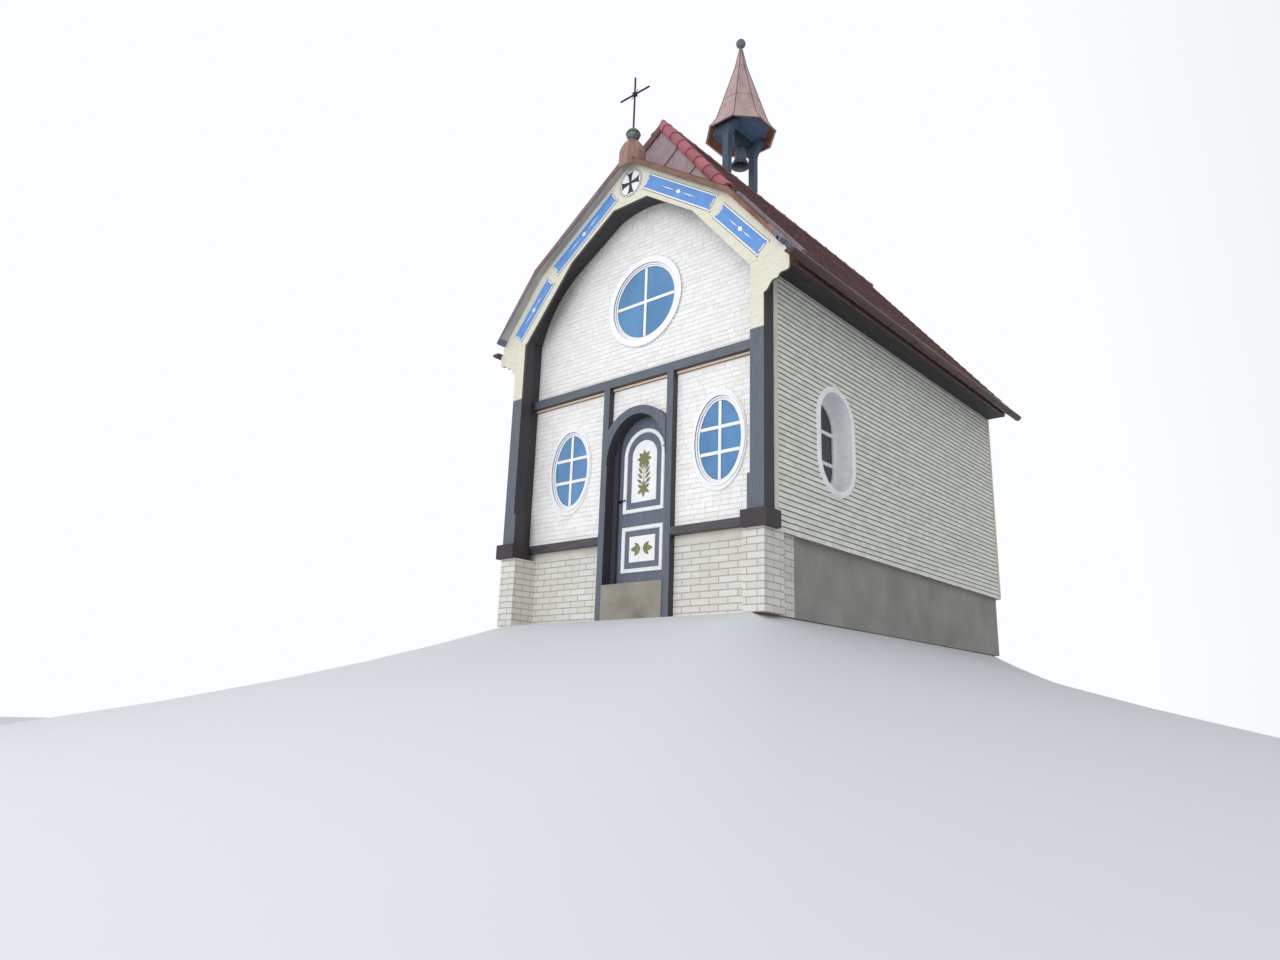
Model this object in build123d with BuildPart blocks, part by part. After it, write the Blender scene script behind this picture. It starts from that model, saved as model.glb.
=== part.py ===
from build123d import *

import os
from math import cos, radians, sin, tan

# Small wayside chapel, in millimetres. +X is to the right of someone facing the door,
# +Y runs from the door wall to the rear wall, +Z is up and z = 0 is the lowest ground point.

# Plan
frame_width = 4000  # across the outsides of the two corner posts
frame_to_rear = 6440  # from the face of the corner posts to the rear wall face
wall_recess = 360  # front wall face behind the face of the corner posts
wall_thickness = 300
wall_inset = 30  # side wall face inside the outer side of the corner posts
plinth_inset = 40  # plinth face behind the face of the wall above it
plinth_thickness = 330
canopy_nose = 120  # canopy edge before the face of the corner posts
gutter_nose = 70  # front end of the gutters, in the same way
gutter_tail = 260  # gutters run past the rear wall

# Heights, each one over or under the level that it is built from
plinth_top = 850
floor_drop = 400  # floor under the top of the plinth
floor_thickness = 120
sill_lift = 100  # sill beams over the plinth
beam_lift = 2075  # cross beam over the plinth
eave_lift = 3022  # edge of the tiles over the plinth
board_foot_drop = 872  # foot of the gable board, on the corner posts, under the eave
lining_lift = 8  # where the lining of the front recess starts to curve, over the eave

# Roof
eave_overhang = 310  # tiles past the outer side of the corner posts
roof_pitch = 51.25
roof_thickness = 70
rear_verge = 60
hip_top_y = 606  # front end of the ridge, behind the face of the corner posts
hip_foot_y = 50
tile_edge_y = 300  # front edge of the tiles at the eave
canopy_break_inset = 400  # where the canopy's slope changes, inside the corner post's outer side
canopy_pitch = 34.5
canopy_thickness = 50
canopy_end_inset = 45  # lower end of the canopy's verges, from the edge of the tiles
hip_thickness = 50
tile_courses = 11
tile_step = 28  # a course's lower edge over the head of the next one
cap_bed = 34  # depth to which the cap tiles are bedded
cap_radius = 85
cap_drop = 70  # centre of the half-round cap tiles below the arris

# Front timberwork
post_width = 175
post_depth = 168
block_width = 320
block_height = 180
block_nose = 50
block_inset = 260  # inner side of a block, from the corner post's outer side
boot_height = 571  # wider foot of a corner post, over the plinth
boot_width = 36
return_width = 80
beam_face_y = 270
beam_height = 112
sill_height = 92
door_post_inner = 465
door_post_width = 95

# Doorway and door, with heights over the floor
arch_radius = 390
arch_band = 100
arch_centre_lift = 1655
arch_face_y = 260
rebate_y = 440
reveal_half_width = 500
reveal_head_gap = 30
door_overlap = 20
door_thickness = 50
door_gap = 5
door_floor_gap = 10
panel_margin = 93  # from the leaf's edge to its panels
panel_band = 45
panel_arch_drop = 75  # centre of the panel's arch under that of the doorway
panel_proud = 10
upper_panel_lift = 870
lower_panel_lift = 150
lower_panel_height = 546
hinge_offset = 8
hinge_pin_radius = 7
hinge_knuckle_radius = 14
hinge_knuckle_length = 70
hinge_lifts = (300, 950, 1550)
running_gap = 0.1
handle_lift = 1030
handle_backset = 43  # from the leaf's free edge to the handle's middle

# Gable board: insets from the corner post's outer side, drops under the roof line above or under the eave
board_thickness = 30
board_leg_width = 170
shoulder_inset = 210
shoulder_drop = 720
haunch_inset = 990
haunch_drop = 432
crown_half_width = 280
crown_drop = 636
bracket_top_reach = 264
bracket_ear = (295, 79)  # reach past the corner post and drop under the eave, as in the next ones
bracket_nick = (257, 95)
bracket_nose_top = (322, 159)
bracket_lobe = ((322, 278), (299, 311), (204, 328), (185, 363))
bracket_scroll = ((160, 373), (83, 408), (38, 471), (0, 487))

# Arch lining, in the same way
lining_thickness = 25
lining_foot_inset = 130
lining_side_inset = 400
lining_side_drop = 337
lining_haunch_inset = 745
lining_haunch_drop = 244
lining_upper_x = 447
lining_upper_drop = 303
lining_crown_drop = 531

# Windows, with heights over the plinth
round_window_lift = 3153
round_outer = 600
round_inner = 470
oval_inset = 822  # from the corner post's outer side
oval_lift = 1131
oval_outer = (376, 589)
oval_inner = (287, 463)
ring_step = 55  # width of the stepped inner edge of the front rings
side_window_y = 1520
side_window_lift = 1250
side_outer = (435, 660)
side_ring = 60
side_glass_depth = 210
ring_proud = 27
ring_depth = 90
ring_seat = 32  # how far a ring's flange covers the wall round its hole
glass_thickness = 6
glass_depth = 22
sash_thickness = 45
sash_width = 45

# Eaves and gutters
soffit_board = 25
fascia_overhang = 245  # past the corner post's outer side
fascia_height = 121
gutter_radius = 56
gutter_sheet = 4
gutter_drop = 122  # lip of the gutter under the eave
hanger_first = 180  # first gutter hanger behind the face of the corner posts
hanger_count = 10
hanger_size = (30, 5)

# Bell turret
turret_y = 2400
turret_post = 100
turret_span = 680  # between the centres of the two posts
hood_lift = 780  # mouth of the hood over the ridge
hood_flare = ((0, 550), (90, 482), (190, 426), (330, 380), (1220, 102), (1570, 26))
hood_ceiling = 90
hood_skirt = 25
hood_opening = 450  # radius of the opening in the hood's ceiling
bearer_half = 195
bearer_height = 90
brace_rise = 230
finial_radius = 75
finial_neck = 45
finial_neck_radius = 17
finial_sink = 4
finial_tip = 60
finial_tip_radius = 12
axle_lift = 10  # over the mouth of the hood
axle_radius = 12
axle_seat = 40
yoke_bar_height = 50
yoke_block_half = (100, 70)
yoke_half_width = 35
yoke_side_gap = 5
bell_hang = 520  # mouth of the bell under its axle
bell_height = 330
bell_radius = 142
bell_wall = 14
crown_share = 0.48  # radii of the crown, shoulder and waist as shares of the mouth's
shoulder_share = 0.56
waist_share = 0.66
crown_rise = 0.86  # heights over the mouth as shares of the bell's
shoulder_rise = 0.76
waist_rise = 0.36
vault_rise = 0.80
vault_side_rise = 0.72
clapper_rise = 0.12
clapper_rod = 6
clapper_ball = 24

# Roof cross, with heights over the canopy's apex
cross_y = 12
pedestal_rings = ((-166, 186), (48, 183), (116, 163), (196, 125), (240, 94), (284, 55))
cross_ball_lift = 80  # middle of the ball over its pedestal
cross_ball_radius = 92
cross_ball_half_height = 76
cross_ball_neck = 30
cross_reach = 945  # top of the cross over the pedestal
cross_arm_drop = 255
cross_arm_half = 250
cross_bar = 17
rosette_radius = 32

# Values worked out from the sizes above
half_frame = frame_width / 2
wall_x = half_frame - wall_inset
room_x = wall_x - wall_thickness
plinth_x = wall_x - plinth_inset
plinth_room_x = plinth_x - plinth_thickness
front_y = -(frame_to_rear + gutter_tail - canopy_nose) / 2
wall_y = front_y + wall_recess
room_front_y = wall_y + wall_thickness
rear_y = front_y + frame_to_rear
room_rear_y = rear_y - wall_thickness
floor_top = plinth_top - floor_drop
sill_bottom = plinth_top + sill_lift
beam_bottom = plinth_top + beam_lift
eave_height = plinth_top + eave_lift
eave_reach = half_frame + eave_overhang
canopy_break = half_frame - canopy_break_inset
roof_slope = tan(radians(roof_pitch))
canopy_slope = tan(radians(canopy_pitch))
ridge_height = eave_height + eave_reach * roof_slope
break_height = ridge_height - canopy_break * roof_slope
canopy_apex = break_height + canopy_break * canopy_slope
hip_rise = ridge_height - break_height
hip_run = hip_top_y - hip_foot_y
roof_rear_y = rear_y + rear_verge
board_foot = eave_height - board_foot_drop
arch_spring = eave_height + lining_lift
arch_centre_z = floor_top + arch_centre_lift
round_window_z = plinth_top + round_window_lift
oval_x = half_frame - oval_inset
oval_z = plinth_top + oval_lift
side_window_z = plinth_top + side_window_lift
hood_mouth = ridge_height + hood_lift
axle_z = hood_mouth + axle_lift
bell_mouth_z = axle_z - bell_hang
pedestal_top = canopy_apex + pedestal_rings[-1][0]
cross_ball_z = pedestal_top + cross_ball_lift
cross_top = pedestal_top + cross_reach
cross_arm_z = cross_top - cross_arm_drop


def facade(y):
    """Plane with local X to the right and local Y up, facing the front."""
    return Plane(origin=(0, y, 0), x_dir=(1, 0, 0), z_dir=(0, -1, 0))


def flank(x):
    """Plane with local X to the rear and local Y up, facing the right."""
    return Plane(origin=(x, 0, 0), x_dir=(0, 1, 0), z_dir=(1, 0, 0))


def block(x_span, y_span, z_span, mode=Mode.ADD):
    """Box between two corners, added to the part in hand."""
    spans = (x_span, y_span, z_span)
    centre = Vector(*[sum(span) / 2 for span in spans])
    with Locations(centre):
        Box(*[span[1] - span[0] for span in spans], mode=mode)


def roof_z(x, depth=0):
    """Height of the main roof slope at x, depth below its tiles, square to the slope."""
    return ridge_height - depth / cos(radians(roof_pitch)) - x * roof_slope


def canopy_z(x, depth=0):
    """Height of the flatter canopy slope at x, depth below its sheet."""
    return canopy_apex - depth / cos(radians(canopy_pitch)) - x * canopy_slope


def fold_x(canopy_depth, roof_depth):
    """Where the canopy slope at one depth meets the roof slope at another."""
    return (roof_z(0, roof_depth) - canopy_z(0, canopy_depth)) / (roof_slope - canopy_slope)


def mirrored(piece):
    """The same piece on the left of the building."""
    with BuildPart() as twin:
        add(mirror(piece.part, about=Plane.YZ))
    return twin


# Plinth, floor and threshold
with BuildPart() as front_plinth_right:
    block((door_post_inner, plinth_x), (wall_y, room_front_y), (0, plinth_top))
    block((half_frame - block_inset, half_frame), (front_y, wall_y), (0, plinth_top))
    block((0, reveal_half_width), (front_y + rebate_y, room_front_y), (floor_top, plinth_top), Mode.SUBTRACT)

with BuildPart() as side_plinth_right:
    block((plinth_room_x, plinth_x), (room_front_y, rear_y - plinth_inset - plinth_thickness),
          (0, plinth_top))

with BuildPart() as rear_plinth:
    block((-plinth_x, plinth_x), (rear_y - plinth_inset - plinth_thickness, rear_y - plinth_inset),
          (0, plinth_top))

with BuildPart() as floor_slab:
    block((-plinth_room_x, plinth_room_x),
          (room_front_y, rear_y - plinth_inset - plinth_thickness),
          (floor_top - floor_thickness, floor_top))

with BuildPart() as threshold:
    block((-door_post_inner, door_post_inner), (front_y + arch_face_y, room_front_y), (0, floor_top))

# Front wall, split beside and over the doorway
reveal_head = arch_centre_z + arch_radius + door_overlap + reveal_head_gap
rebate_plane_y = front_y + rebate_y
oval_hole = [size - ring_seat for size in oval_outer]

with BuildPart() as front_wall_right:
    block((door_post_inner, room_x), (wall_y, room_front_y), (plinth_top, beam_bottom))
    block((0, reveal_half_width), (rebate_plane_y, room_front_y), (0, reveal_head), Mode.SUBTRACT)
    with BuildSketch(facade(wall_y)):
        with Locations((oval_x, oval_z)):
            Ellipse(*oval_hole)
    extrude(amount=-wall_thickness, mode=Mode.SUBTRACT)

with BuildPart() as front_wall_over_door:
    block((-door_post_inner, door_post_inner), (wall_y, rebate_plane_y), (arch_centre_z, beam_bottom))
    block((-door_post_inner, door_post_inner), (rebate_plane_y, room_front_y),
          (reveal_head, beam_bottom))
    with BuildSketch(facade(wall_y)):
        with Locations((0, arch_centre_z)):
            Circle(arch_radius + arch_band)
    extrude(amount=-(rebate_y - wall_recess), mode=Mode.SUBTRACT)

wall_fold = fold_x(canopy_thickness, roof_thickness)
with BuildPart() as front_gable_wall:
    with BuildSketch(facade(wall_y)):
        with BuildLine():
            Polyline((-room_x, beam_bottom), (room_x, beam_bottom), (room_x, roof_z(room_x, roof_thickness)),
                     (wall_fold, roof_z(wall_fold, roof_thickness)), (0, canopy_z(0, canopy_thickness)),
                     (-wall_fold, roof_z(wall_fold, roof_thickness)),
                     (-room_x, roof_z(room_x, roof_thickness)), close=True)
        make_face()
        with Locations((0, round_window_z)):
            Circle(round_outer - ring_seat, mode=Mode.SUBTRACT)
    extrude(amount=-wall_thickness)

# Side and rear walls
side_hole = [size - ring_seat for size in side_outer]
with BuildPart() as side_wall_right:
    with BuildSketch(facade(wall_y)):
        with BuildLine():
            Polyline((room_x, plinth_top), (wall_x, plinth_top), (wall_x, roof_z(wall_x, roof_thickness)),
                     (room_x, roof_z(room_x, roof_thickness)), close=True)
        make_face()
    extrude(amount=-(frame_to_rear - wall_recess))
    with BuildSketch(flank(wall_x)):
        with Locations((front_y + side_window_y, side_window_z)):
            SlotOverall(2 * side_hole[1], 2 * side_hole[0], rotation=90)
    extrude(amount=-wall_thickness, mode=Mode.SUBTRACT)

with BuildPart() as rear_wall:
    with BuildSketch(facade(room_rear_y)):
        with BuildLine():
            Polyline((-room_x, plinth_top), (room_x, plinth_top), (room_x, roof_z(room_x, roof_thickness)),
                     (0, roof_z(0, roof_thickness)), (-room_x, roof_z(room_x, roof_thickness)), close=True)
        make_face()
    extrude(amount=-wall_thickness)

# Corner posts on their blocks, and the returns behind them
post_inner = half_frame - post_width
post_back_y = front_y + post_depth
block_inner = half_frame - block_inset
block_side = block_inner + block_width
with BuildPart() as corner_post_right:
    block((post_inner, half_frame), (front_y, post_back_y), (plinth_top + block_height, board_foot))
    block((post_inner, half_frame), (front_y + board_thickness, post_back_y), (board_foot, arch_spring))
    block((post_inner - boot_width, post_inner), (front_y, post_back_y),
          (plinth_top + block_height, plinth_top + boot_height))
    block((block_inner, block_side), (front_y - block_nose, post_back_y + block_nose),
          (plinth_top, plinth_top + block_height))

with BuildPart() as corner_return_right:
    block((wall_x - return_width, wall_x), (post_back_y, wall_y), (plinth_top + block_height, arch_spring))
    block((block_inner, block_side), (front_y - block_nose, post_back_y + block_nose),
          (plinth_top, plinth_top + block_height), Mode.SUBTRACT)

# Beams and door posts on the front wall
beam_y = front_y + beam_face_y
beam_end = wall_x - return_width
door_post_outer = door_post_inner + door_post_width
with BuildPart() as cross_beam:
    block((-beam_end, beam_end), (beam_y, wall_y), (beam_bottom, beam_bottom + beam_height))

with BuildPart() as sill_beam_right:
    block((door_post_outer, beam_end), (beam_y, wall_y), (sill_bottom, sill_bottom + sill_height))

with BuildPart() as door_post_right:
    block((door_post_inner, door_post_outer), (beam_y, wall_y), (0, beam_bottom))

# Arched lining of the doorway
arch_y = front_y + arch_face_y
with BuildPart() as door_arch:
    with BuildSketch(facade(arch_y)):
        with Locations((0, arch_centre_z)):
            Circle(arch_radius + arch_band)
        with Locations((0, (floor_top + arch_centre_z) / 2)):
            Rectangle(2 * (arch_radius + arch_band), arch_centre_z - floor_top)
        with Locations((0, (floor_top + arch_centre_z) / 2)):
            Rectangle(2 * arch_radius, arch_centre_z - floor_top, mode=Mode.SUBTRACT)
        with Locations((0, arch_centre_z)):
            Circle(arch_radius, mode=Mode.SUBTRACT)
        with Locations((0, floor_top)):
            Rectangle(2 * door_post_inner, 2 * frame_width, mode=Mode.INTERSECT)
    extrude(amount=-(rebate_y - arch_face_y))

# Door leaf with its two framed panels, knuckles and handle
leaf_half = arch_radius + door_overlap
panel_half_width = leaf_half - panel_margin
leaf_y = rebate_plane_y + door_gap
leaf_back_y = leaf_y + door_thickness
leaf_foot = floor_top + door_floor_gap
hinge_x = leaf_half + hinge_offset
hinge_y = leaf_back_y + hinge_offset
upper_panel_bottom = floor_top + upper_panel_lift
lower_panel_bottom = floor_top + lower_panel_lift
lower_panel_top = lower_panel_bottom + lower_panel_height
panel_spring = arch_centre_z - panel_arch_drop


def arched_panel(half_width, foot, spring):
    """Face with straight sides and a half-round head, in the facade plane in hand."""
    with Locations((0, (foot + spring) / 2)):
        Rectangle(2 * half_width, spring - foot)
    with Locations((0, spring)):
        Circle(half_width)


with BuildPart() as door_leaf:
    with BuildSketch(facade(leaf_y)):
        arched_panel(leaf_half, leaf_foot, arch_centre_z)
    extrude(amount=-door_thickness)
    with BuildSketch(facade(leaf_y)) as upper_frame:
        arched_panel(panel_half_width, upper_panel_bottom, panel_spring)
        with BuildSketch(facade(leaf_y), mode=Mode.SUBTRACT):
            arched_panel(panel_half_width - panel_band, upper_panel_bottom + panel_band, panel_spring)
    extrude(amount=panel_proud)
    with BuildSketch(facade(leaf_y)):
        with Locations((0, (lower_panel_top + lower_panel_bottom) / 2)):
            Rectangle(2 * panel_half_width, lower_panel_top - lower_panel_bottom)
            Rectangle(2 * (panel_half_width - panel_band),
                      lower_panel_top - lower_panel_bottom - 2 * panel_band, mode=Mode.SUBTRACT)
    extrude(amount=panel_proud)
    for lift in hinge_lifts:
        with Locations((hinge_x, hinge_y, floor_top + lift)):
            Cylinder(hinge_knuckle_radius, hinge_knuckle_length)
            Cylinder(hinge_pin_radius + running_gap, hinge_knuckle_length, mode=Mode.SUBTRACT)

with BuildPart() as door_hinges:
    for lift in hinge_lifts:
        knuckle_foot = floor_top + lift - hinge_knuckle_length / 2
        with Locations((hinge_x, hinge_y, floor_top + lift)):
            Cylinder(hinge_pin_radius, hinge_knuckle_length)
        block((hinge_x - hinge_pin_radius, reveal_half_width),
              (hinge_y - hinge_pin_radius, hinge_y + hinge_pin_radius),
              (knuckle_foot - 2 * hinge_knuckle_radius, knuckle_foot - running_gap))
        with Locations((hinge_x, hinge_y, knuckle_foot - hinge_knuckle_radius)):
            Cylinder(hinge_pin_radius, 2 * hinge_knuckle_radius)

handle_x = -(leaf_half - handle_backset)
handle_height = floor_top + handle_lift
rose_radius = 22
rose_thickness = 8
lever_reach = 38
lever_length = 110
lever_radius = 8
with BuildPart() as door_handle:
    with BuildSketch(facade(leaf_y)):
        with Locations((handle_x, handle_height)):
            Circle(rose_radius)
    extrude(amount=rose_thickness)
    with BuildSketch(facade(leaf_y)):
        with Locations((handle_x, handle_height)):
            Circle(lever_radius)
    extrude(amount=lever_reach)
    with BuildSketch(flank(handle_x)):
        with Locations((leaf_y - lever_reach, handle_height)):
            Circle(lever_radius)
    extrude(amount=lever_length)

# Cream board over the recess, with its scrolled brackets
board_fold = fold_x(canopy_thickness, canopy_thickness)
board_inner = half_frame - board_leg_width
board_shoulder_x = half_frame - shoulder_inset
board_shoulder_z = roof_z(board_shoulder_x) - shoulder_drop
board_haunch_x = half_frame - haunch_inset
bracket_top_x = half_frame + bracket_top_reach


def at_bracket(reach_and_drop):
    """Point of a bracket from its reach past the corner post and its drop under the eave."""
    return (half_frame + reach_and_drop[0], eave_height - reach_and_drop[1])


with BuildPart() as gable_board:
    with BuildSketch(facade(front_y)) as board_half:
        with BuildLine():
            Polyline((0, canopy_z(0, canopy_thickness)), (board_fold, canopy_z(board_fold, canopy_thickness)),
                     (bracket_top_x, roof_z(bracket_top_x, canopy_thickness)), at_bracket(bracket_ear),
                     at_bracket(bracket_nick), at_bracket(bracket_nose_top), at_bracket(bracket_lobe[0]))
            Spline(*[at_bracket(point) for point in bracket_lobe])
            Line(at_bracket(bracket_lobe[-1]), at_bracket(bracket_scroll[0]))
            Spline(*[at_bracket(point) for point in bracket_scroll])
            Polyline(at_bracket(bracket_scroll[-1]), (half_frame, board_foot), (board_inner, board_foot),
                     (board_inner, board_shoulder_z - (board_inner - board_shoulder_x)),
                     (board_shoulder_x, board_shoulder_z),
                     (board_haunch_x, canopy_z(board_haunch_x) - haunch_drop),
                     (crown_half_width, canopy_apex - crown_drop), (0, canopy_apex - crown_drop),
                     (0, canopy_z(0, canopy_thickness)))
        make_face()
        mirror(about=Plane.YZ)
    extrude(amount=-board_thickness)

# Curved lining between the board and the wall
lining_foot = half_frame - lining_foot_inset
lining_side_x = half_frame - lining_side_inset
lining_side = (lining_side_x, canopy_z(lining_side_x) - lining_side_drop)
lining_haunch_x = half_frame - lining_haunch_inset
lining_haunch = (lining_haunch_x, canopy_z(lining_haunch_x) - lining_haunch_drop)
lining_upper = (lining_upper_x, canopy_z(lining_upper_x) - lining_upper_drop)
lining_crown = canopy_apex - lining_crown_drop
with BuildPart() as arch_lining:
    with BuildSketch(facade(front_y + board_thickness)):
        with BuildLine() as lining_curve:
            ThreePointArc((lining_foot, arch_spring), lining_side, lining_haunch)
            Line(lining_haunch, lining_upper)
            ThreePointArc(lining_upper, (0, lining_crown), (-lining_upper[0], lining_upper[1]))
            Line((-lining_upper[0], lining_upper[1]), (-lining_haunch[0], lining_haunch[1]))
            ThreePointArc((-lining_haunch[0], lining_haunch[1]), (-lining_side[0], lining_side[1]),
                          (-lining_foot, arch_spring))
            Line((-lining_foot, arch_spring), (lining_foot, arch_spring))
        inner_face = make_face()
        offset(amount=lining_thickness, kind=Kind.INTERSECTION)
        add(inner_face, mode=Mode.SUBTRACT)
        with Locations((0, arch_spring - lining_thickness)):
            Rectangle(frame_width, 2 * lining_thickness, mode=Mode.SUBTRACT)
    extrude(amount=-(wall_recess - board_thickness))

# Copper canopy: a flat upper slope back to the hip and a strip down each verge
canopy_fold = fold_x(canopy_thickness, canopy_thickness)
canopy_front_y = front_y - canopy_nose
canopy_back_y = room_front_y
canopy_end = eave_reach - canopy_end_inset
with BuildPart() as canopy_core:
    with BuildSketch(facade(canopy_front_y)):
        with BuildLine():
            Polyline((0, canopy_apex), (canopy_break, break_height), (-canopy_break, break_height),
                     close=True)
        make_face()
    extrude(amount=-(canopy_back_y - canopy_front_y))
    block((-canopy_break, canopy_break), (canopy_front_y, canopy_back_y),
          (break_height - frame_width / 4, break_height))

with BuildPart() as canopy_right:
    with BuildSketch(facade(canopy_front_y)):
        with BuildLine():
            Polyline((0, canopy_apex), (canopy_break, break_height),
                     (canopy_fold, canopy_z(canopy_fold, canopy_thickness)),
                     (0, canopy_z(0, canopy_thickness)), close=True)
        make_face()
    extrude(amount=-(canopy_back_y - canopy_front_y))
    with BuildPart(mode=Mode.PRIVATE) as verge_strip:
        with BuildSketch(facade(canopy_front_y)):
            with BuildLine():
                Polyline((canopy_break, break_height), (canopy_end, roof_z(canopy_end)),
                         (canopy_end, roof_z(canopy_end, canopy_thickness)),
                         (canopy_fold, canopy_z(canopy_fold, canopy_thickness)), close=True)
            make_face()
        extrude(amount=-(canopy_nose + tile_edge_y))
        with BuildSketch(Plane.XY):
            with BuildLine():
                Polyline((canopy_break, front_y + hip_foot_y), (eave_reach, front_y + tile_edge_y),
                         (eave_reach, front_y + frame_width), (0, front_y + frame_width),
                         (0, front_y + hip_foot_y), close=True)
            make_face()
        extrude(amount=2 * ridge_height, mode=Mode.SUBTRACT)
    add(verge_strip.part)

# Tiled slopes in stepped courses, cut in plan along the hips and the slanting front edge of the tiles
slope_length = eave_reach / cos(radians(roof_pitch))
course_length = slope_length / tile_courses


def slope_point(run, depth):
    """Point at a distance down the right slope from the ridge, depth below its tiles."""
    return (run * cos(radians(roof_pitch)) - depth * sin(radians(roof_pitch)),
            ridge_height - run * sin(radians(roof_pitch)) - depth * cos(radians(roof_pitch)))


stepped_slope = [(0, roof_z(0, tile_step))]
for course in range(1, tile_courses):
    stepped_slope.append(slope_point(course * course_length, 0))
    stepped_slope.append(slope_point(course * course_length, tile_step))
with BuildPart() as roof_right:
    with BuildSketch(facade(front_y + hip_foot_y)):
        with BuildLine():
            Polyline(*stepped_slope, (eave_reach, eave_height),
                     (eave_reach, roof_z(eave_reach, roof_thickness)), (0, roof_z(0, roof_thickness)),
                     close=True)
        make_face()
    extrude(amount=-(roof_rear_y - front_y - hip_foot_y))
    with BuildSketch(Plane.XY):
        with BuildLine():
            Polyline((0, front_y + hip_top_y), (canopy_break, front_y + hip_foot_y),
                     (eave_reach, front_y + tile_edge_y), (eave_reach, front_y - frame_width),
                     (0, front_y - frame_width), close=True)
        make_face()
    extrude(amount=2 * ridge_height, mode=Mode.SUBTRACT)
    add(canopy_core.part, mode=Mode.SUBTRACT)

# Steep sheet-metal hip over the canopy
hip_drop = hip_thickness * (hip_rise ** 2 + hip_run ** 2) ** 0.5 / hip_run
with BuildPart() as front_hip:
    with BuildSketch(flank(-canopy_break)):
        with BuildLine():
            Polyline((front_y + hip_foot_y, break_height), (front_y + hip_top_y, ridge_height),
                     (front_y + hip_top_y, ridge_height - hip_drop),
                     (front_y + hip_foot_y, break_height - hip_drop), close=True)
        make_face()
    extrude(amount=2 * canopy_break)
    with BuildSketch(Plane.XY):
        with BuildLine():
            Polyline((-canopy_break, front_y + hip_foot_y), (canopy_break, front_y + hip_foot_y),
                     (0, front_y + hip_top_y), close=True)
        make_face()
    extrude(amount=2 * ridge_height, mode=Mode.INTERSECT)
    add(canopy_core.part, mode=Mode.SUBTRACT)

roof_left = mirrored(roof_right)

# Half-round cap tiles bedded on the ridge and on the two front hips
with BuildPart() as roof_core:
    with BuildSketch(facade(front_y + hip_foot_y)):
        with BuildLine():
            Polyline((0, roof_z(0, cap_bed)), (eave_reach, roof_z(eave_reach, cap_bed)),
                     (-eave_reach, roof_z(eave_reach, cap_bed)), close=True)
        make_face()
    extrude(amount=-(roof_rear_y - front_y - hip_foot_y))
    with BuildSketch(flank(-eave_reach)):
        with BuildLine():
            Polyline((front_y + hip_foot_y, break_height), (front_y + hip_top_y, ridge_height),
                     (front_y + hip_foot_y, ridge_height), close=True)
        make_face()
    extrude(amount=2 * eave_reach, mode=Mode.SUBTRACT)

with BuildPart() as ridge_cap:
    with BuildSketch(facade(front_y + hip_top_y)):
        with Locations((0, ridge_height - cap_drop)):
            Circle(cap_radius)
    extrude(amount=-(roof_rear_y - front_y - hip_top_y))
    add(roof_core.part, mode=Mode.SUBTRACT)
    add(roof_right.part, mode=Mode.SUBTRACT)
    add(roof_left.part, mode=Mode.SUBTRACT)

hip_start = Vector(0, front_y + hip_top_y, ridge_height - cap_drop)
hip_end = Vector(canopy_break, front_y + hip_foot_y, break_height - cap_drop)
hip_axis = Plane(origin=hip_start, z_dir=hip_end - hip_start)
with BuildPart() as hip_cap_right:
    with BuildSketch(hip_axis):
        Circle(cap_radius)
    extrude(amount=(hip_end - hip_start).length)
    add(roof_core.part, mode=Mode.SUBTRACT)
    add(roof_right.part, mode=Mode.SUBTRACT)
    add(front_hip.part, mode=Mode.SUBTRACT)
    add(canopy_core.part, mode=Mode.SUBTRACT)
    add(canopy_right.part, mode=Mode.SUBTRACT)
    block((-frame_width, 0), (front_y, rear_y), (0, 2 * ridge_height), Mode.SUBTRACT)
    block((-frame_width, frame_width), (front_y + hip_top_y, rear_y), (0, 2 * ridge_height), Mode.SUBTRACT)

# Boxed eaves and gutters
soffit_reach = half_frame + fascia_overhang
fascia_top = roof_z(soffit_reach, roof_thickness)
soffit_height = fascia_top - fascia_height
with BuildPart() as eaves_right:
    with BuildSketch(facade(front_y + board_thickness)):
        with BuildLine():
            Polyline((wall_x, soffit_height), (soffit_reach, soffit_height), (soffit_reach, fascia_top),
                     (soffit_reach - soffit_board, fascia_top),
                     (soffit_reach - soffit_board, soffit_height + soffit_board),
                     (wall_x, soffit_height + soffit_board), close=True)
        make_face()
    extrude(amount=-(frame_to_rear - board_thickness))
    with BuildSketch(facade(rear_y - soffit_board)):
        with BuildLine():
            Polyline((wall_x, soffit_height), (soffit_reach, soffit_height), (soffit_reach, fascia_top),
                     (wall_x, roof_z(wall_x, roof_thickness)), close=True)
        make_face()
    extrude(amount=-soffit_board)
    add(corner_post_right.part, mode=Mode.SUBTRACT)

gutter_x = eave_reach + gutter_radius
gutter_lip_z = eave_height - gutter_drop
with BuildPart() as gutter_right:
    with BuildSketch(facade(front_y - gutter_nose)):
        with Locations((gutter_x, gutter_lip_z)):
            Circle(gutter_radius)
            Circle(gutter_radius - gutter_sheet, mode=Mode.SUBTRACT)
        with Locations((gutter_x, gutter_lip_z + gutter_radius)):
            Rectangle(2 * gutter_radius, 2 * gutter_radius, mode=Mode.SUBTRACT)
    extrude(amount=-(gutter_nose + frame_to_rear + gutter_tail))
    hanger_pitch = (frame_to_rear - 2 * hanger_first) / (hanger_count - 1)
    for place in range(hanger_count):
        hanger_y = front_y + hanger_first + place * hanger_pitch
        block((soffit_reach, eave_reach + gutter_sheet / 2), (hanger_y, hanger_y + hanger_size[0]),
              (gutter_lip_z - hanger_size[1], gutter_lip_z))

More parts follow.
